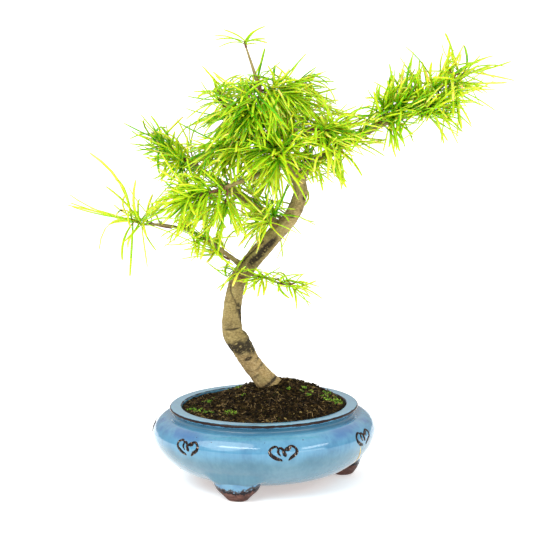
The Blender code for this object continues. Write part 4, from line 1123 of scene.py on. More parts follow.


# The foliage. A mass grows from one stem, which leaves the trunk at a height or a bough's tip. It
# carries spurs up to its tip, each on a side twig, and each spur ends in a rosette of needles.
# deep and gold are the shares of its needles that are so coloured, and count sets how many a
# rosette has. The deep green is partly the needles' own deeper colour and partly painted shade for
# needles inside and behind the crown. seed sets the side twigs, and seeds has one number for each
# rosette. Each mass takes the place of the CAD node that has its name here with _needles after it.
Mass = namedtuple(
    "Mass", "holder height knee tip spurs side needle spread lean droop deep gold count seed seeds"
)
MASSES = {
    "lower_left_tip": Mass(
        "lower_left_outer_bough", None, (-0.1197, -0.0251, 0.2655), (-0.1267, -0.0301, 0.2723),
        4, 0.003, 0.066, 82, (-0.16, 0.0, 0.2), 0.03, 0.04, 0.42, 8, 157,
        (876, 243, 251, 837, 130, 251, 772, 919)),
    "lower_left": Mass(
        "lower_left_bough", None, (-0.0549, -0.0158, 0.2513), (-0.055, -0.0224, 0.2496),
        3, 0.004, 0.04, 81, (-0.11, -0.12, 0.38), 0.09, 0.04, 0.2, 8, 558,
        (648, 707, 500, 184, 447, 897)),
    "left_tip": Mass(
        "left_bough", None, (-0.0862, 0.0238, 0.3256), (-0.1023, 0.021, 0.3455),
        5, 0.005, 0.0407, 70, (-0.04, 0.07, -0.02), 0.08, 0.38, 0.14, 8, 864,
        (451, 451, 237, 267, 508, 154, 675, 413, 516, 649)),
    "left_under": Mass(
        "left_bough", None, (-0.0766, 0.0099, 0.3233), (-0.0709, 0.0084, 0.3168),
        3, 0.004, 0.0467, 90, (0.34, -0.02, -0.08), 0.0, 0.18, 0.11, 5, 144,
        (129, 615, 886, 719, 146, 720)),
    "front_left": Mass(
        "front_left_bough", None, (-0.0631, -0.0517, 0.2948), (-0.0661, -0.0515, 0.298),
        5, 0.004, 0.048, 70, (-0.38, -0.02, -0.1), 0.14, 0.12, 0.14, 17, 665,
        (551, 784, 336, 4, 939, 10, 227, 451, 784, 113)),
    "front_hanging": Mass(
        "front_left_bough", None, (-0.0303, -0.0372, 0.299), (-0.0363, -0.0413, 0.2831),
        3, 0.004, 0.0457, 72, (-0.02, -0.08, -0.1), 0.06, 0.08, 0.16, 10, 874,
        (601, 437, 984, 510, 521, 257)),
    "centre_left": Mass(
        "centre_left_bough", None, (-0.026, -0.0147, 0.3487), (-0.0387, -0.0124, 0.334),
        5, 0.01, 0.0413, 71, (-0.36, 0.06, -0.1), 0.06, 0.32, 0.12, 7, 835,
        (277, 761, 615, 175, 50, 304, 73, 938, 791, 447)),
    "upper_left": Mass(
        "upper_left_bough", None, (-0.0397, -0.0127, 0.3866), (-0.0373, -0.0174, 0.3935),
        4, 0.006, 0.042, 84, (-0.06, -0.16, -0.04), 0.09, 0.07, 0.27, 5, 95,
        (710, 816, 266, 297, 633, 419, 461, 469)),
    "upper_left_front": Mass(
        "trunk", 0.372, (-0.0159, -0.0209, 0.3733), (-0.0199, -0.0213, 0.376),
        4, 0.007, 0.0423, 70, (-0.17, -0.07, -0.1), 0.13, 0.35, 0.12, 19, 434,
        (64, 667, 113, 245, 976, 339, 50, 430)),
    "leader": Mass(
        "trunk", None, (-0.0125, -0.006, 0.44), (-0.0132, -0.006, 0.4423),
        2, 0.002, 0.027, 74, (0.0, 0.0, 0.3), 0.1, 0.04, 0.42, 5, 18, (138, 402, 411, 390)),
    "top": Mass(
        "trunk", 0.404, (0.002, -0.0114, 0.4071), (0.0027, -0.0153, 0.3896),
        5, 0.014, 0.048, 77, (0.15, -0.06, -0.03), 0.14, 0.33, 0.14, 6, 613,
        (75, 482, 345, 622, 322, 540, 947, 106, 480, 465)),
    "top_low": Mass(
        "trunk", 0.388, (-0.0063, -0.015, 0.3888), (-0.0061, -0.0236, 0.3709),
        3, 0.004, 0.0419, 70, (0.09, -0.06, -0.08), 0.14, 0.4, 0.11, 16, 603,
        (228, 594, 592, 40, 183, 238)),
    "upper_right": Mass(
        "upper_right_bough", None, (0.0382, 0.0115, 0.3991), (0.0497, 0.0072, 0.4026),
        4, 0.004, 0.044, 84, (0.21, 0.09, -0.06), 0.1, 0.07, 0.33, 5, 817,
        (719, 82, 215, 903, 46, 999, 311, 204)),
    "top_right": Mass(
        "trunk", 0.394, (0.0139, -0.006, 0.3974), (0.0228, -0.0069, 0.3899),
        5, 0.004, 0.048, 70, (0.31, -0.06, -0.1), 0.14, 0.31, 0.14, 22, 194,
        (483, 316, 19, 569, 202, 429, 918, 300, 815, 601)),
    "centre_right": Mass(
        "trunk", 0.366, (0.0147, -0.0004, 0.3629), (0.0399, 0.0043, 0.3719),
        5, 0.019, 0.048, 95, (0.12, 0.05, -0.07), 0.14, 0.25, 0.13, 5, 246,
        (617, 625, 80, 350, 257, 612, 621, 785, 778, 474)),
    "right_front": Mass(
        "right_front_bough", None, (0.0737, -0.0316, 0.3565), (0.0789, -0.0326, 0.3582),
        6, 0.005, 0.0413, 77, (0.28, -0.11, 0.15), 0.0, 0.09, 0.27, 11, 850,
        (793, 430, 260, 508, 942, 239, 92, 222, 839, 6, 70, 724)),
    "right_low": Mass(
        "right_low_bough", None, (0.0696, -0.0243, 0.3355), (0.0663, -0.032, 0.3471),
        5, 0.014, 0.0426, 84, (0.14, -0.07, -0.1), 0.09, 0.17, 0.18, 7, 309,
        (62, 57, 352, 338, 926, 677, 471, 985, 923, 276)),
    "front": Mass(
        "trunk", 0.333, (0.0289, -0.0154, 0.3317), (0.0193, -0.0291, 0.3393),
        3, 0.004, 0.048, 83, (-0.01, -0.06, 0.38), 0.14, 0.25, 0.14, 12, 102,
        (811, 846, 872, 574, 553, 450)),
    "front_low": Mass(
        "trunk", 0.322, (0.0218, -0.0203, 0.3327), (0.0136, -0.0299, 0.3328),
        3, 0.006, 0.048, 70, (0.05, -0.14, -0.1), 0.1, 0.2, 0.13, 16, 992, (569, 23, 246, 372, 350, 686)),
    "front_side": Mass(
        "trunk", 0.336, (0.0194, -0.0127, 0.3436), (0.0107, -0.0223, 0.3317),
        3, 0.01, 0.048, 74, (-0.19, 0.12, -0.1), 0.14, 0.22, 0.13, 14, 438,
        (417, 433, 962, 84, 153, 726)),
    "trunk": Mass(
        "trunk", 0.257, (0.0113, -0.0124, 0.2629), (0.0053, -0.0167, 0.2693),
        3, 0.009, 0.04, 71, (-0.08, -0.07, -0.1), 0.13, 0.22, 0.15, 19, 182,
        (483, 165, 424, 943, 568, 528)),
    "trunk_back": Mass(
        "trunk", 0.272, (0.0373, 0.0089, 0.2775), (0.0369, 0.0141, 0.2672),
        2, 0.004, 0.042, 70, (-0.16, 0.14, 0.3), 0.08, 0.14, 0.1, 6, 957, (906, 711, 987, 108)),
    "lower_right": Mass(
        "lower_right_bough", None, (0.0216, -0.0207, 0.2001), (0.0337, -0.0232, 0.2055),
        4, 0.006, 0.0277, 76, (0.38, 0.06, 0.34), 0.12, 0.04, 0.26, 8, 478,
        (639, 438, 4, 289, 600, 691, 305, 861)),
    "lower_front": Mass(
        "trunk", 0.207, (-0.0171, -0.0052, 0.2088), (-0.0274, -0.014, 0.2117),
        3, 0.008, 0.0249, 74, (0.23, -0.04, 0.29), 0.09, 0.04, 0.2, 6, 86, (34, 139, 838, 830, 867, 125)),
    "right_inner": Mass(
        "right_bough", None, (0.1224, -0.0212, 0.3691), (0.14, -0.0214, 0.3785),
        5, 0.008, 0.04, 70, (-0.06, -0.2, 0.32), 0.01, 0.35, 0.09, 18, 375,
        (842, 393, 237, 618, 408, 235, 204, 148, 565, 840)),
    "right_tip": Mass(
        "right_outer_bough", None, (0.1813, -0.0098, 0.3818), (0.1952, -0.0096, 0.4112),
        9, 0.008, 0.054, 84, (-0.07, -0.03, -0.1), 0.06, 0.09, 0.19, 11, 707,
        (581, 384, 458, 210, 868, 8, 735, 799, 498, 611, 351, 28, 785, 825, 464, 253, 745, 871)),
    "right_middle": Mass(
        "right_outer_bough", None, (0.1603, -0.0057, 0.3835), (0.1577, -0.0024, 0.3801),
        3, 0.007, 0.0533, 70, (0.03, 0.08, 0.18), 0.01, 0.3, 0.13, 5, 887,
        (230, 127, 633, 224, 426, 960)),
    "right_hanging": Mass(
        "right_outer_bough", None, (0.1598, -0.0207, 0.3665), (0.1624, -0.0301, 0.3755),
        4, 0.01, 0.041, 87, (0.05, -0.11, 0.38), 0.0, 0.17, 0.12, 6, 648,
        (898, 116, 627, 829, 353, 261, 446, 403)),
    "window": Mass(
        "window_bough", None, (-0.007, 0.0396, 0.2843), (-0.023, 0.0472, 0.2847),
        3, 0.011, 0.0411, 70, (0.08, 0.06, 0.12), 0.08, 0.14, 0.22, 12, 189,
        (317, 580, 952, 548, 201, 416)),
    "back_low": Mass(
        "back_low_bough", None, (0.028, 0.0638, 0.3147), (0.0164, 0.0731, 0.3125),
        4, 0.009, 0.044, 73, (-0.07, 0.14, 0.3), 0.13, 0.16, 0.12, 18, 153,
        (753, 682, 913, 621, 757, 32, 74, 168)),
    "back_left": Mass(
        "back_left_bough", None, (-0.0062, 0.0759, 0.3514), (-0.0339, 0.0897, 0.3547),
        5, 0.017, 0.048, 70, (0.04, 0.07, -0.1), 0.0, 0.42, 0.1, 9, 593,
        (314, 134, 935, 879, 575, 313, 277, 771, 440, 297)),
    "back_right": Mass(
        "back_right_bough", None, (0.0498, 0.0727, 0.3624), (0.0506, 0.0871, 0.3592),
        5, 0.019, 0.0447, 76, (0.04, 0.33, -0.1), 0.09, 0.2, 0.15, 10, 706,
        (85, 724, 531, 735, 978, 648, 234, 726, 530, 972)),
    "back_upper": Mass(
        "back_upper_bough", None, (-0.0087, 0.063, 0.3865), (-0.016, 0.0751, 0.3891),
        4, 0.006, 0.048, 82, (-0.21, 0.11, -0.1), 0.14, 0.21, 0.15, 10, 806,
        (840, 556, 678, 38, 830, 261, 15, 390)),
}
# Finer sprays between the masses. Where a bough holds one, its height is the share of the way
# along that bough.
SPRAYS = (
    Mass(
        "lower_left_outer_bough", 0.25, (-0.084, -0.0181, 0.2672), (-0.0712, -0.018, 0.2628),
        2, 0.003, 0.0413, 72, (-0.03, -0.06, 0.3), 0.14, 0.04, 0.21, 8, 425, (327, 872, 308, 826)),
    Mass(
        "lower_left_outer_bough", 0.6, (-0.1114, -0.0224, 0.2654), (-0.1129, -0.0218, 0.2715),
        2, 0.006, 0.04, 70, (0.1, -0.02, 0.34), 0.09, 0.07, 0.35, 8, 112, (884, 890, 643, 725)),
    Mass(
        "lower_left_bough", 0.35, (-0.0356, -0.0028, 0.2277), (-0.0482, -0.0065, 0.238),
        2, 0.003, 0.04, 71, (-0.24, 0.12, 0.36), 0.0, 0.04, 0.19, 16, 419, (38, 655, 430, 848)),
    Mass(
        "lower_right_bough", 0.75, (0.0035, -0.0169, 0.2125), (-0.0007, -0.0191, 0.2087),
        3, 0.004, 0.0245, 70, (0.05, -0.09, 0.04), 0.04, 0.04, 0.26, 9, 697,
        (451, 562, 273, 766, 972, 488)),
    Mass(
        "right_bough", 0.78, (0.1136, -0.0182, 0.3657), (0.1303, -0.0236, 0.3644),
        3, 0.006, 0.0443, 79, (0.31, -0.31, -0.1), 0.08, 0.16, 0.24, 5, 806,
        (911, 271, 630, 940, 656, 551)),
    Mass(
        "right_bough", 0.93, (0.1378, -0.0169, 0.3752), (0.1322, -0.0209, 0.3681),
        3, 0.009, 0.0457, 85, (-0.38, -0.15, 0.1), 0.09, 0.16, 0.2, 11, 966,
        (719, 281, 704, 636, 392, 112)),
    Mass(
        "right_bough", 0.55, (0.0896, -0.0174, 0.3415), (0.0926, -0.012, 0.3447),
        3, 0.003, 0.0429, 74, (0.08, -0.07, 0.26), 0.14, 0.08, 0.26, 7, 878,
        (691, 32, 917, 22, 684, 596)),
    Mass(
        "right_bough", 0.3, (0.0697, -0.0074, 0.3401), (0.0728, -0.0072, 0.3307),
        3, 0.007, 0.04, 75, (-0.19, -0.06, -0.08), 0.14, 0.13, 0.21, 10, 611,
        (480, 493, 745, 167, 290, 591)),
    Mass(
        "upper_right_bough", 0.55, (0.0394, 0.0049, 0.401), (0.0399, 0.0047, 0.3985),
        3, 0.004, 0.0407, 89, (-0.23, -0.12, 0.15), 0.14, 0.27, 0.15, 6, 757,
        (457, 559, 47, 177, 442, 763)),
    Mass(
        "left_bough", 0.97, (-0.0741, 0.019, 0.3286), (-0.0782, 0.0188, 0.3234),
        3, 0.007, 0.04, 70, (-0.16, -0.28, 0.38), 0.0, 0.18, 0.12, 12, 593, (601, 79, 93, 182, 453, 137)),
    Mass(
        "left_bough", 0.72, (-0.0544, 0.0103, 0.3137), (-0.0611, 0.0099, 0.3139),
        3, 0.013, 0.048, 73, (-0.38, 0.04, 0.0), 0.05, 0.17, 0.1, 5, 213, (503, 462, 731, 379, 290, 874)),
    Mass(
        "window_bough", 0.6, (0.0017, 0.0266, 0.2833), (-0.007, 0.0285, 0.2821),
        2, 0.006, 0.0479, 95, (0.26, -0.15, -0.06), 0.0, 0.17, 0.19, 8, 767, (574, 818, 423, 964)),
    Mass(
        "front_left_bough", 0.5, (-0.0246, -0.0256, 0.307), (-0.035, -0.0281, 0.3008),
        2, 0.004, 0.048, 80, (-0.09, 0.0, -0.1), 0.04, 0.12, 0.2, 8, 766, (508, 688, 824, 294)),
    Mass(
        "centre_left_bough", 0.6, (-0.0113, -0.0185, 0.3513), (-0.0218, -0.0113, 0.3386),
        3, 0.003, 0.04, 71, (-0.26, -0.24, -0.1), 0.14, 0.35, 0.12, 21, 477,
        (569, 437, 944, 430, 986, 448)),
    Mass(
        "trunk", 0.318, (0.0506, -0.0092, 0.3274), (0.0493, -0.0141, 0.3272),
        3, 0.006, 0.04, 70, (-0.14, -0.12, 0.27), 0.13, 0.14, 0.14, 7, 105,
        (588, 105, 988, 226, 361, 388)),
    Mass(
        "right_outer_bough", 0.35, (0.1589, -0.0131, 0.3706), (0.1549, -0.0127, 0.3751),
        3, 0.013, 0.0475, 72, (0.22, 0.0, 0.37), 0.03, 0.21, 0.08, 6, 819, (543, 607, 30, 361, 683, 240)),
    Mass(
        "right_outer_bough", 0.75, (0.1639, -0.0097, 0.373), (0.1547, -0.0134, 0.3804),
        3, 0.009, 0.04, 70, (0.18, -0.11, 0.13), 0.0, 0.21, 0.11, 22, 157, (738, 98, 535, 593, 820, 372)),
    Mass(
        "front_left_bough", 0.8, (-0.0407, -0.0353, 0.3008), (-0.042, -0.0348, 0.2986),
        3, 0.012, 0.048, 70, (-0.29, 0.25, -0.1), 0.0, 0.11, 0.15, 6, 810,
        (293, 502, 601, 629, 709, 704)),
    Mass(
        "left_bough", 0.88, (-0.0636, 0.0267, 0.3215), (-0.0691, 0.0288, 0.3217),
        3, 0.008, 0.048, 78, (-0.11, -0.05, 0.06), 0.03, 0.18, 0.13, 9, 387,
        (204, 264, 962, 763, 837, 367)),
    Mass(
        "upper_left_bough", 0.75, (-0.0245, -0.0093, 0.3802), (-0.0218, -0.0087, 0.3703),
        3, 0.007, 0.0401, 74, (-0.07, -0.26, -0.1), 0.13, 0.31, 0.14, 16, 40,
        (541, 597, 67, 372, 392, 571)),
    Mass(
        "right_bough", 0.15, (0.0475, 0.003, 0.3453), (0.0567, 0.005, 0.3436),
        3, 0.007, 0.0451, 70, (-0.2, 0.0, 0.24), 0.12, 0.13, 0.14, 6, 961,
        (133, 431, 246, 563, 617, 205)),
    Mass(
        "trunk", 0.352, (0.0198, -0.0142, 0.3666), (0.0181, -0.0124, 0.3713),
        3, 0.003, 0.048, 95, (0.11, -0.06, 0.18), 0.0, 0.27, 0.13, 7, 805,
        (434, 740, 999, 550, 367, 675)),
    Mass(
        "trunk", 0.3, (0.0358, 0.0035, 0.2941), (0.0366, 0.0099, 0.3081),
        2, 0.004, 0.0447, 70, (-0.38, -0.14, 0.38), 0.05, 0.13, 0.08, 7, 590, (274, 551, 793, 880)),
    Mass(
        "trunk", 0.345, (0.0007, -0.0118, 0.3572), (-0.0072, -0.0153, 0.3556),
        3, 0.004, 0.048, 73, (-0.33, -0.04, 0.31), 0.08, 0.43, 0.1, 7, 428,
        (485, 55, 905, 258, 567, 705)),
)
STEM_ROOT = 0.0013
STEM_TIP = 0.0007
STEM_STEPS = 10
FIRST_SPUR = 0.30
FINER_TWIGS = 1  # how many there are for each spur
SPUR_FILL = 0.70  # the share of the mass's count that a rosette on a spur has
TWIG_FILL = 0.45  # and on a finer twig
SPUR_RADIUS = 0.0006
TWIG_RADIUS = 0.0005
BUD_SIZE = 1.5  # in radii of its twig
NEEDLE_WIDTH = 0.0025
NEEDLE_CURL = 0.85
# Where along a needle its rings lie, and how wide it is there
NEEDLE_RINGS = (
    (0.0, 0.50), (0.12, 0.80), (0.28, 0.97), (0.45, 1.0), (0.63, 1.0), (0.81, 0.94), (0.95, 0.68)
)
SPRAY_COLOURS = (
    ("needle_deep", (0.050, 0.290, 0.002)),
    ("needle_green", (0.125, 0.440, 0.003)),
    ("needle_leaf", (0.275, 0.590, 0.005)),
    ("needle_lime", (0.430, 0.700, 0.011)),
    ("needle_bright", (0.565, 0.770, 0.024)),
    ("needle_yellow_green", (0.710, 0.830, 0.070)),
    ("needle_yellow", (0.870, 0.810, 0.160)),
    ("needle_gold", (0.900, 0.580, 0.120)),
    ("needle_rust", (0.560, 0.165, 0.080)),
)
DEEP, GREEN, LEAF, LIME, BRIGHT, YELLOW_GREEN, YELLOW, GOLD, RUST = range(9)
# The colours of a needle in seven stretches from root to tip, by kind
# The deep kind: partly the needles' own deeper green, and partly painted shade inside and behind the
# crown.
DEEP_AND_SHADED_NEEDLES = (
    (DEEP, GREEN, GREEN, GREEN, LEAF, LEAF, LEAF),
    (GREEN, GREEN, LEAF, LEAF, LEAF, LIME, LIME),
    (DEEP, DEEP, GREEN, GREEN, GREEN, LEAF, LEAF),
)
FRESH_NEEDLES = (
    (LEAF, LEAF, LEAF, LIME, LIME, LIME, BRIGHT),
    (LEAF, LIME, LIME, LIME, BRIGHT, BRIGHT, YELLOW_GREEN),
    (GREEN, LEAF, LEAF, LEAF, LIME, LIME, LIME),
    (LEAF, LIME, LIME, BRIGHT, BRIGHT, YELLOW_GREEN, YELLOW),
    (LEAF, LEAF, LIME, LIME, LIME, BRIGHT, BRIGHT),
)
GOLD_NEEDLES = (
    (LIME, BRIGHT, BRIGHT, YELLOW_GREEN, YELLOW_GREEN, YELLOW_GREEN, YELLOW),
    (LIME, LIME, BRIGHT, YELLOW_GREEN, YELLOW_GREEN, YELLOW_GREEN, YELLOW_GREEN),
    (LIME, BRIGHT, BRIGHT, YELLOW_GREEN, YELLOW_GREEN, YELLOW, YELLOW),
    (LIME, BRIGHT, BRIGHT, YELLOW_GREEN, YELLOW_GREEN, YELLOW, GOLD),
)
TURNED_NEEDLES = ((LIME, BRIGHT, YELLOW_GREEN, YELLOW, GOLD, GOLD, RUST),)
TURNED = 0.015  # the share of needles whose ends have turned
OWN_KIND = 0.28  # the share of needles whose kind is drawn apart from their rosette's


def stem_line(mass, limbs):
    """The stem's points, from inside what holds it, over the knee to its tip."""
    knee = Vector(mass.knee)
    tip = Vector(mass.tip)
    tip_is_taken = any(bough.holder == mass.holder != "trunk" for bough in BOUGHS.values())
    if mass.height:
        if mass.holder == "trunk":
            centre, radius, along = trunk_at(mass.height)
        else:
            centre, radius, along = limbs.part_way(mass.holder, mass.height)
        out = knee - centre
        out = (out - along * out.dot(along)).normalized()
        start = centre + out * radius * 0.5
    else:
        centre, radius, along = limbs.tips[mass.holder]
        out = (knee - centre).normalized()
        if out.dot(along) > 0.5 and not tip_is_taken:
            out = along
            start = centre - along * 0.0005
        else:
            out = (out - along * out.dot(along)).normalized()
            start = centre - along * 0.0016 + out * radius * 0.4
    first = start + out * 0.0015
    return [start] + over_knee(first, knee, tip, STEM_STEPS)


def along_line(points, share):
    """The point that share of the way along the line, and the line's direction there."""
    lengths = [(b - a).length for a, b in zip(points, points[1:])]
    left = share * sum(lengths)
    for a, b, length in zip(points, points[1:], lengths):
        if left <= length:
            break
        left -= length
    return a.lerp(b, min(left / length, 1.0)), (b - a).normalized()


def outwards(along, turn, forward):
    """Out from a stem at an angle round it, and that much forward along it."""
    across = along.cross(UP).normalized()
    over = across.cross(along)
    return across * math.cos(turn) + over * math.sin(turn) + along * forward


def spurs_of(mass, line, rng):
    """Where the side twigs leave the stem and end, the last spur being the stem's own tip."""
    lean = Vector(mass.lean)
    for k in range(mass.spurs):
        share = FIRST_SPUR + (1 - FIRST_SPUR) * k / (mass.spurs - 1)
        start, along = along_line(line, share)
        if k == mass.spurs - 1:
            yield start, start, (along + lean * 0.5).normalized()
            continue
        out = (outwards(along, k * GOLDEN_ANGLE, 0.6) + lean * 0.3).normalized()
        yield start, start + out * mass.side * rng.uniform(0.85, 1.15), out


def finer_twigs_of(mass, line, rng):
    """Where finer side twigs leave the stem between the spurs, and end."""
    lean = Vector(mass.lean)
    count = mass.spurs * FINER_TWIGS
    for k in range(count):
        start, along = along_line(line, rng.uniform(0.25, 0.98))
        out = (outwards(along, k * GOLDEN_ANGLE + 1.2, 0.5) + lean * 0.4).normalized()
        yield start, start + out * mass.side * rng.uniform(0.5, 1.5), out


Needle = namedtuple("Needle", "direction length droop curl width roll")


def needles_of(mass, axis, seed, count, scale):
    """The needles of one rosette: its seed sets how it leans and how each of them grows."""
    rng = random.Random(seed)

    def draw(low, high):
        return low + (high - low) * rng.random()

    own = Vector((draw(-0.5, 0.5), draw(-0.35, 0.35), draw(-0.5, 0.5)))
    axis = (axis + Vector(mass.lean) + own).normalized()
    spread = math.radians(mass.spread) * draw(0.70, 1.15)
    scale *= draw(0.85, 1.25)
    count = round(count * draw(0.75, 1.30))
    turn = draw(0.0, math.tau)
    across = axis.cross(UP if abs(axis.z) < 0.9 else Vector((1.0, 0.0, 0.0))).normalized()
    over = across.cross(axis)
    for k in range(count):
        angle = turn + k * GOLDEN_ANGLE + draw(-0.4, 0.4)
        tilt = spread * (0.1 + 1.05 * math.sqrt((k + 0.5) / count)) * draw(0.85, 1.15)
        ring = across * math.cos(angle) + over * math.sin(angle)
        yield Needle(
            axis * math.cos(tilt) + ring * math.sin(tilt), mass.needle * scale * draw(0.70, 1.12),
            (mass.droop + 0.10) * draw(0.5, 1.6),
            Vector((draw(-1, 1), draw(-1, 1), draw(-1, 1))) * NEEDLE_CURL,
            NEEDLE_WIDTH * draw(0.85, 1.15), draw(-0.6, 0.6)
        )


def needle_line(root, needle):
    """The needle's centre line, arched by its own weight and curl, with its heading at each ring."""
    point = root
    before = 0.0
    for share, _ in NEEDLE_RINGS:
        heading = needle.direction - UP * 2 * needle.droop * share + needle.curl * share
        heading.normalize()
        point = point + heading * needle.length * (share - before)
        before = share
        yield point, heading


def add_needle(shape, root, needle, colours):
    """One soft needle: a keeled blade with a blunt tip."""
    side = needle.direction.cross(UP)
    side = side.normalized() if side.length > 0.05 else Vector((1.0, 0.0, 0.0))
    side = Matrix.Rotation(needle.roll, 3, needle.direction) @ side
    points = []
    for (point, heading), (share, swell) in zip(needle_line(root, needle), NEEDLE_RINGS):
        wide = needle.width * swell
        across = (side - heading * side.dot(heading)).normalized()
        keel = across.cross(heading)
        points += [
            point + across * wide / 2, point - keel * wide * 0.42, point - across * wide / 2
        ]
    points.append(point + heading * needle.length * (1 - share))
    # In place of its end, three faces run together at the tip.
    faces = tube_faces(len(NEEDLE_RINGS), 3)
    a, b, c = faces.pop()
    faces += [(a, b, c + 1), (b, c, c + 1), (c, a, c + 1)]
    slots = [colours[k // 3] for k in range(3 * len(NEEDLE_RINGS) - 3)] + [colours[0]]
    shape.add(points, faces, slots + [colours[-1]] * 3)


def needle_kind(mass, rng):
    if rng.random() < TURNED:
        return TURNED_NEEDLES
    draw = rng.random()
    if draw < mass.deep:
        return DEEP_AND_SHADED_NEEDLES
    return GOLD_NEEDLES if draw > 1 - mass.gold else FRESH_NEEDLES


def rosette(shape, mass, root, axis, limbs, seed, count, scale):
    rng = random.Random(seed + 0.5)
    own = needle_kind(mass, rng)
    if own == TURNED_NEEDLES:
        own = GOLD_NEEDLES
    for needle in needles_of(mass, axis, seed, count, scale):
        other = needle_kind(mass, rng)
        colours = rng.choice(other if rng.random() < OWN_KIND else own)
        if not any(limbs.meets(point) for point, _ in list(needle_line(root, needle))[2:]):
            add_needle(shape, root, needle, colours)


def bud(shape, place, axis, size):
    """A small brown bud at a spur's end."""
    line = [
        place - axis * size, place - axis * size * 0.4,
        place + axis * size * 0.5, place + axis * size * 1.3,
    ]
    tube(shape, line, [size * 0.55, size * 0.95, size * 0.8, size * 0.12], 7)


def sites_of(mass, limbs):
    """The stem's line, and where its side twigs leave it and end, each with its rosette's size."""
    rng = random.Random(mass.seed)
    line = stem_line(mass, limbs)
    sites = []
    for start, end, axis in spurs_of(mass, line, rng):
        sites.append((start, end, axis, mass.count * SPUR_FILL, 1.0, SPUR_RADIUS))
    for start, end, axis in finer_twigs_of(mass, line, rng):
        scale = rng.uniform(0.8, 1.0)
        sites.append((start, end, axis, mass.count * TWIG_FILL, scale, TWIG_RADIUS))
    return line, sites


def grow(mass, limbs, twigs):
    """A mass's needles as one shape; its stem, side twigs and buds go into the twigs."""
    line, sites = sites_of(mass, limbs)
    tube(twigs, line, [lerp(STEM_ROOT, STEM_TIP, k / (len(line) - 1)) for k in range(len(line))], 8)
    shape = Shape()
    for seed, (start, end, axis, count, scale, thick) in zip(mass.seeds, sites):
        if start != end:
            bend = (start + end) / 2 + UP * 0.0006
            tube(twigs, [start, bend, end], [thick * 1.2, thick, thick], 6)
        bud(twigs, end, axis, thick * BUD_SIZE)
        rosette(shape, mass, end, axis, limbs, seed, count, scale)
    return shape


def make_foliage(limbs):
    looks = []
    for name, colour in SPRAY_COLOURS:
        look = Look(name, colour, 0.42)
        look.surface({
            "Specular IOR Level": 0.2, "Subsurface Weight": 0.6, "Subsurface Scale": 0.003,
        })
        looks.append(look.material)
    twigs = Shape()
    for name, mass in MASSES.items():
        mesh = grow(mass, limbs, twigs).mesh(f"{name}_needles")
        piece(f"{name}_spray", mesh, looks, [f"{name}_needles"])
    between = Shape()
    for mass in SPRAYS:
        grown = grow(mass, limbs, twigs)
        between.add(grown.points, grown.faces, grown.slots)
    piece("sprays_between", between.mesh("sprays_between"), looks)
    piece("fine_twigs", twigs.mesh("fine_twigs"), [bark_look("young_twig", 1.0)])


# The room

CAMERA_TARGET = Vector((0.0049, 0.0, 0.21831))
CAMERA_DISTANCE = 2.0
CAMERA_ELEVATION = math.radians(9.279)
CAMERA_ROLL = math.radians(0.895)
FOCAL_PIXELS = 2000.0
PICTURE_PIXELS = 533.0
# How bright the studio's walls and its ceiling are
WALLS = 0.50
CEILING = 1.05
SENSOR = 36.0
SUN_HEADING = (0.75, 0.55, -1.0)
# (name, power, place, target, width, height)
AREA_LIGHTS = (
    ("key", 7.0, (-0.7, -1.2, 1.3), (0.0, 0.0, 0.12), 1.2, 0.25),
    ("fill", 3.0, (1.3, -0.9, 0.9), (0.0, 0.0, 0.12), 0.9, 0.2),
    ("low", 7.0, (0.9, -1.3, 0.35), (0.05, 0.0, 0.0), 1.6, 0.5),
)


def make_camera():
    data = bpy.data.cameras.new("camera")
    data.sensor_width = SENSOR
    data.lens = FOCAL_PIXELS / PICTURE_PIXELS * SENSOR
    data.clip_start = 0.05
    data.clip_end = 60.0
    camera = new_object("camera", data)
    back = Vector((0.0, -math.cos(CAMERA_ELEVATION), math.sin(CAMERA_ELEVATION)))
    right = Vector((1.0, 0.0, 0.0))
    top = back.cross(right)
    turned_right = right * math.cos(CAMERA_ROLL) - top * math.sin(CAMERA_ROLL)
    turned_top = right * math.sin(CAMERA_ROLL) + top * math.cos(CAMERA_ROLL)
    rotation = Matrix((turned_right, turned_top, back)).transposed()
    place = AXIS + CAMERA_TARGET + back * CAMERA_DISTANCE
    camera.matrix_world = Matrix.Translation(place) @ rotation.to_4x4()
    bpy.context.scene.camera = camera


def add_light(name, kind, power, place, target, **settings):
    """A light at a place by the pot, turned towards its target."""
    data = bpy.data.lights.new(name, kind)
    data.energy = power
    for key, value in settings.items():
        setattr(data, key, value)
    light = new_object(name, data)
    light.location = AXIS + Vector(place)
    towards = AXIS + Vector(target) - light.location
    light.rotation_mode = "QUATERNION"
    light.rotation_quaternion = towards.to_track_quat("-Z", "Y")


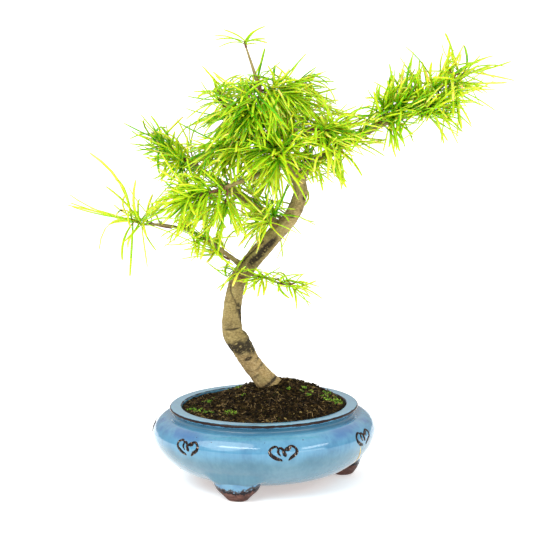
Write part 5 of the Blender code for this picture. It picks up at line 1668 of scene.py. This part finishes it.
def make_room():
    world = bpy.data.worlds.new("studio")
    world.use_nodes = True
    nodes = world.node_tree.nodes
    links = world.node_tree.links
    # A bright ceiling over dimmer walls, so that the glaze has something to mirror
    place = nodes.new("ShaderNodeTexCoord")
    split = nodes.new("ShaderNodeSeparateXYZ")
    links.new(place.outputs["Generated"], split.inputs[0])
    level = nodes.new("ShaderNodeMapRange")
    level.interpolation_type = "SMOOTHSTEP"
    for name, value in (
        ("From Min", 0.10), ("From Max", 0.60), ("To Min", WALLS), ("To Max", CEILING)
    ):
        level.inputs[name].default_value = value
    links.new(split.outputs["Z"], level.inputs["Value"])
    background = nodes["Background"]
    background.inputs["Color"].default_value = (1.0, 1.0, 1.0, 1.0)
    links.new(level.outputs[0], background.inputs["Strength"])
    bpy.context.scene.world = world
    floor_look = Look("studio_floor", (0.93, 0.93, 0.93), 0.9)
    floor_look.surface({
        "Specular IOR Level": 0.1, "Emission Color": (1.0, 1.0, 1.0, 1.0), "Emission Strength": 0.42,
    })
    bm = bmesh.new()
    bmesh.ops.create_grid(bm, x_segments=2, y_segments=2, size=30.0)
    mesh = bpy.data.meshes.new("floor")
    bm.to_mesh(mesh)
    bm.free()
    mesh.materials.append(floor_look.material)
    floor = new_object("floor", mesh)
    floor.location = AXIS
    add_light("sun", "SUN", 1.5, (0.0, 0.0, 0.0), SUN_HEADING, angle=math.radians(50))
    for name, power, place, target, width, height in AREA_LIGHTS:
        add_light(name, "AREA", power, place, target, shape="RECTANGLE", size=width, size_y=height)
    bpy.context.scene.view_settings.view_transform = "Standard"


def main():
    glaze = glaze_look()
    make_pot(glaze)
    make_hearts()
    make_feet()
    make_faults()
    make_soil()
    make_crumbs(random.Random(1))
    make_fibres(random.Random(2))
    make_moss(random.Random(3))
    bark = bark_look("olive_bark")
    make_trunk(bark)
    limbs = Limbs()
    limbs.record("trunk", [p.to_3d() for p in TRUNK_LINE], [p.w for p in TRUNK_LINE])
    for name, bough in BOUGHS.items():
        make_bough(name, bough, limbs, bark)
    make_foliage(limbs)
    make_room()
    make_camera()


main()
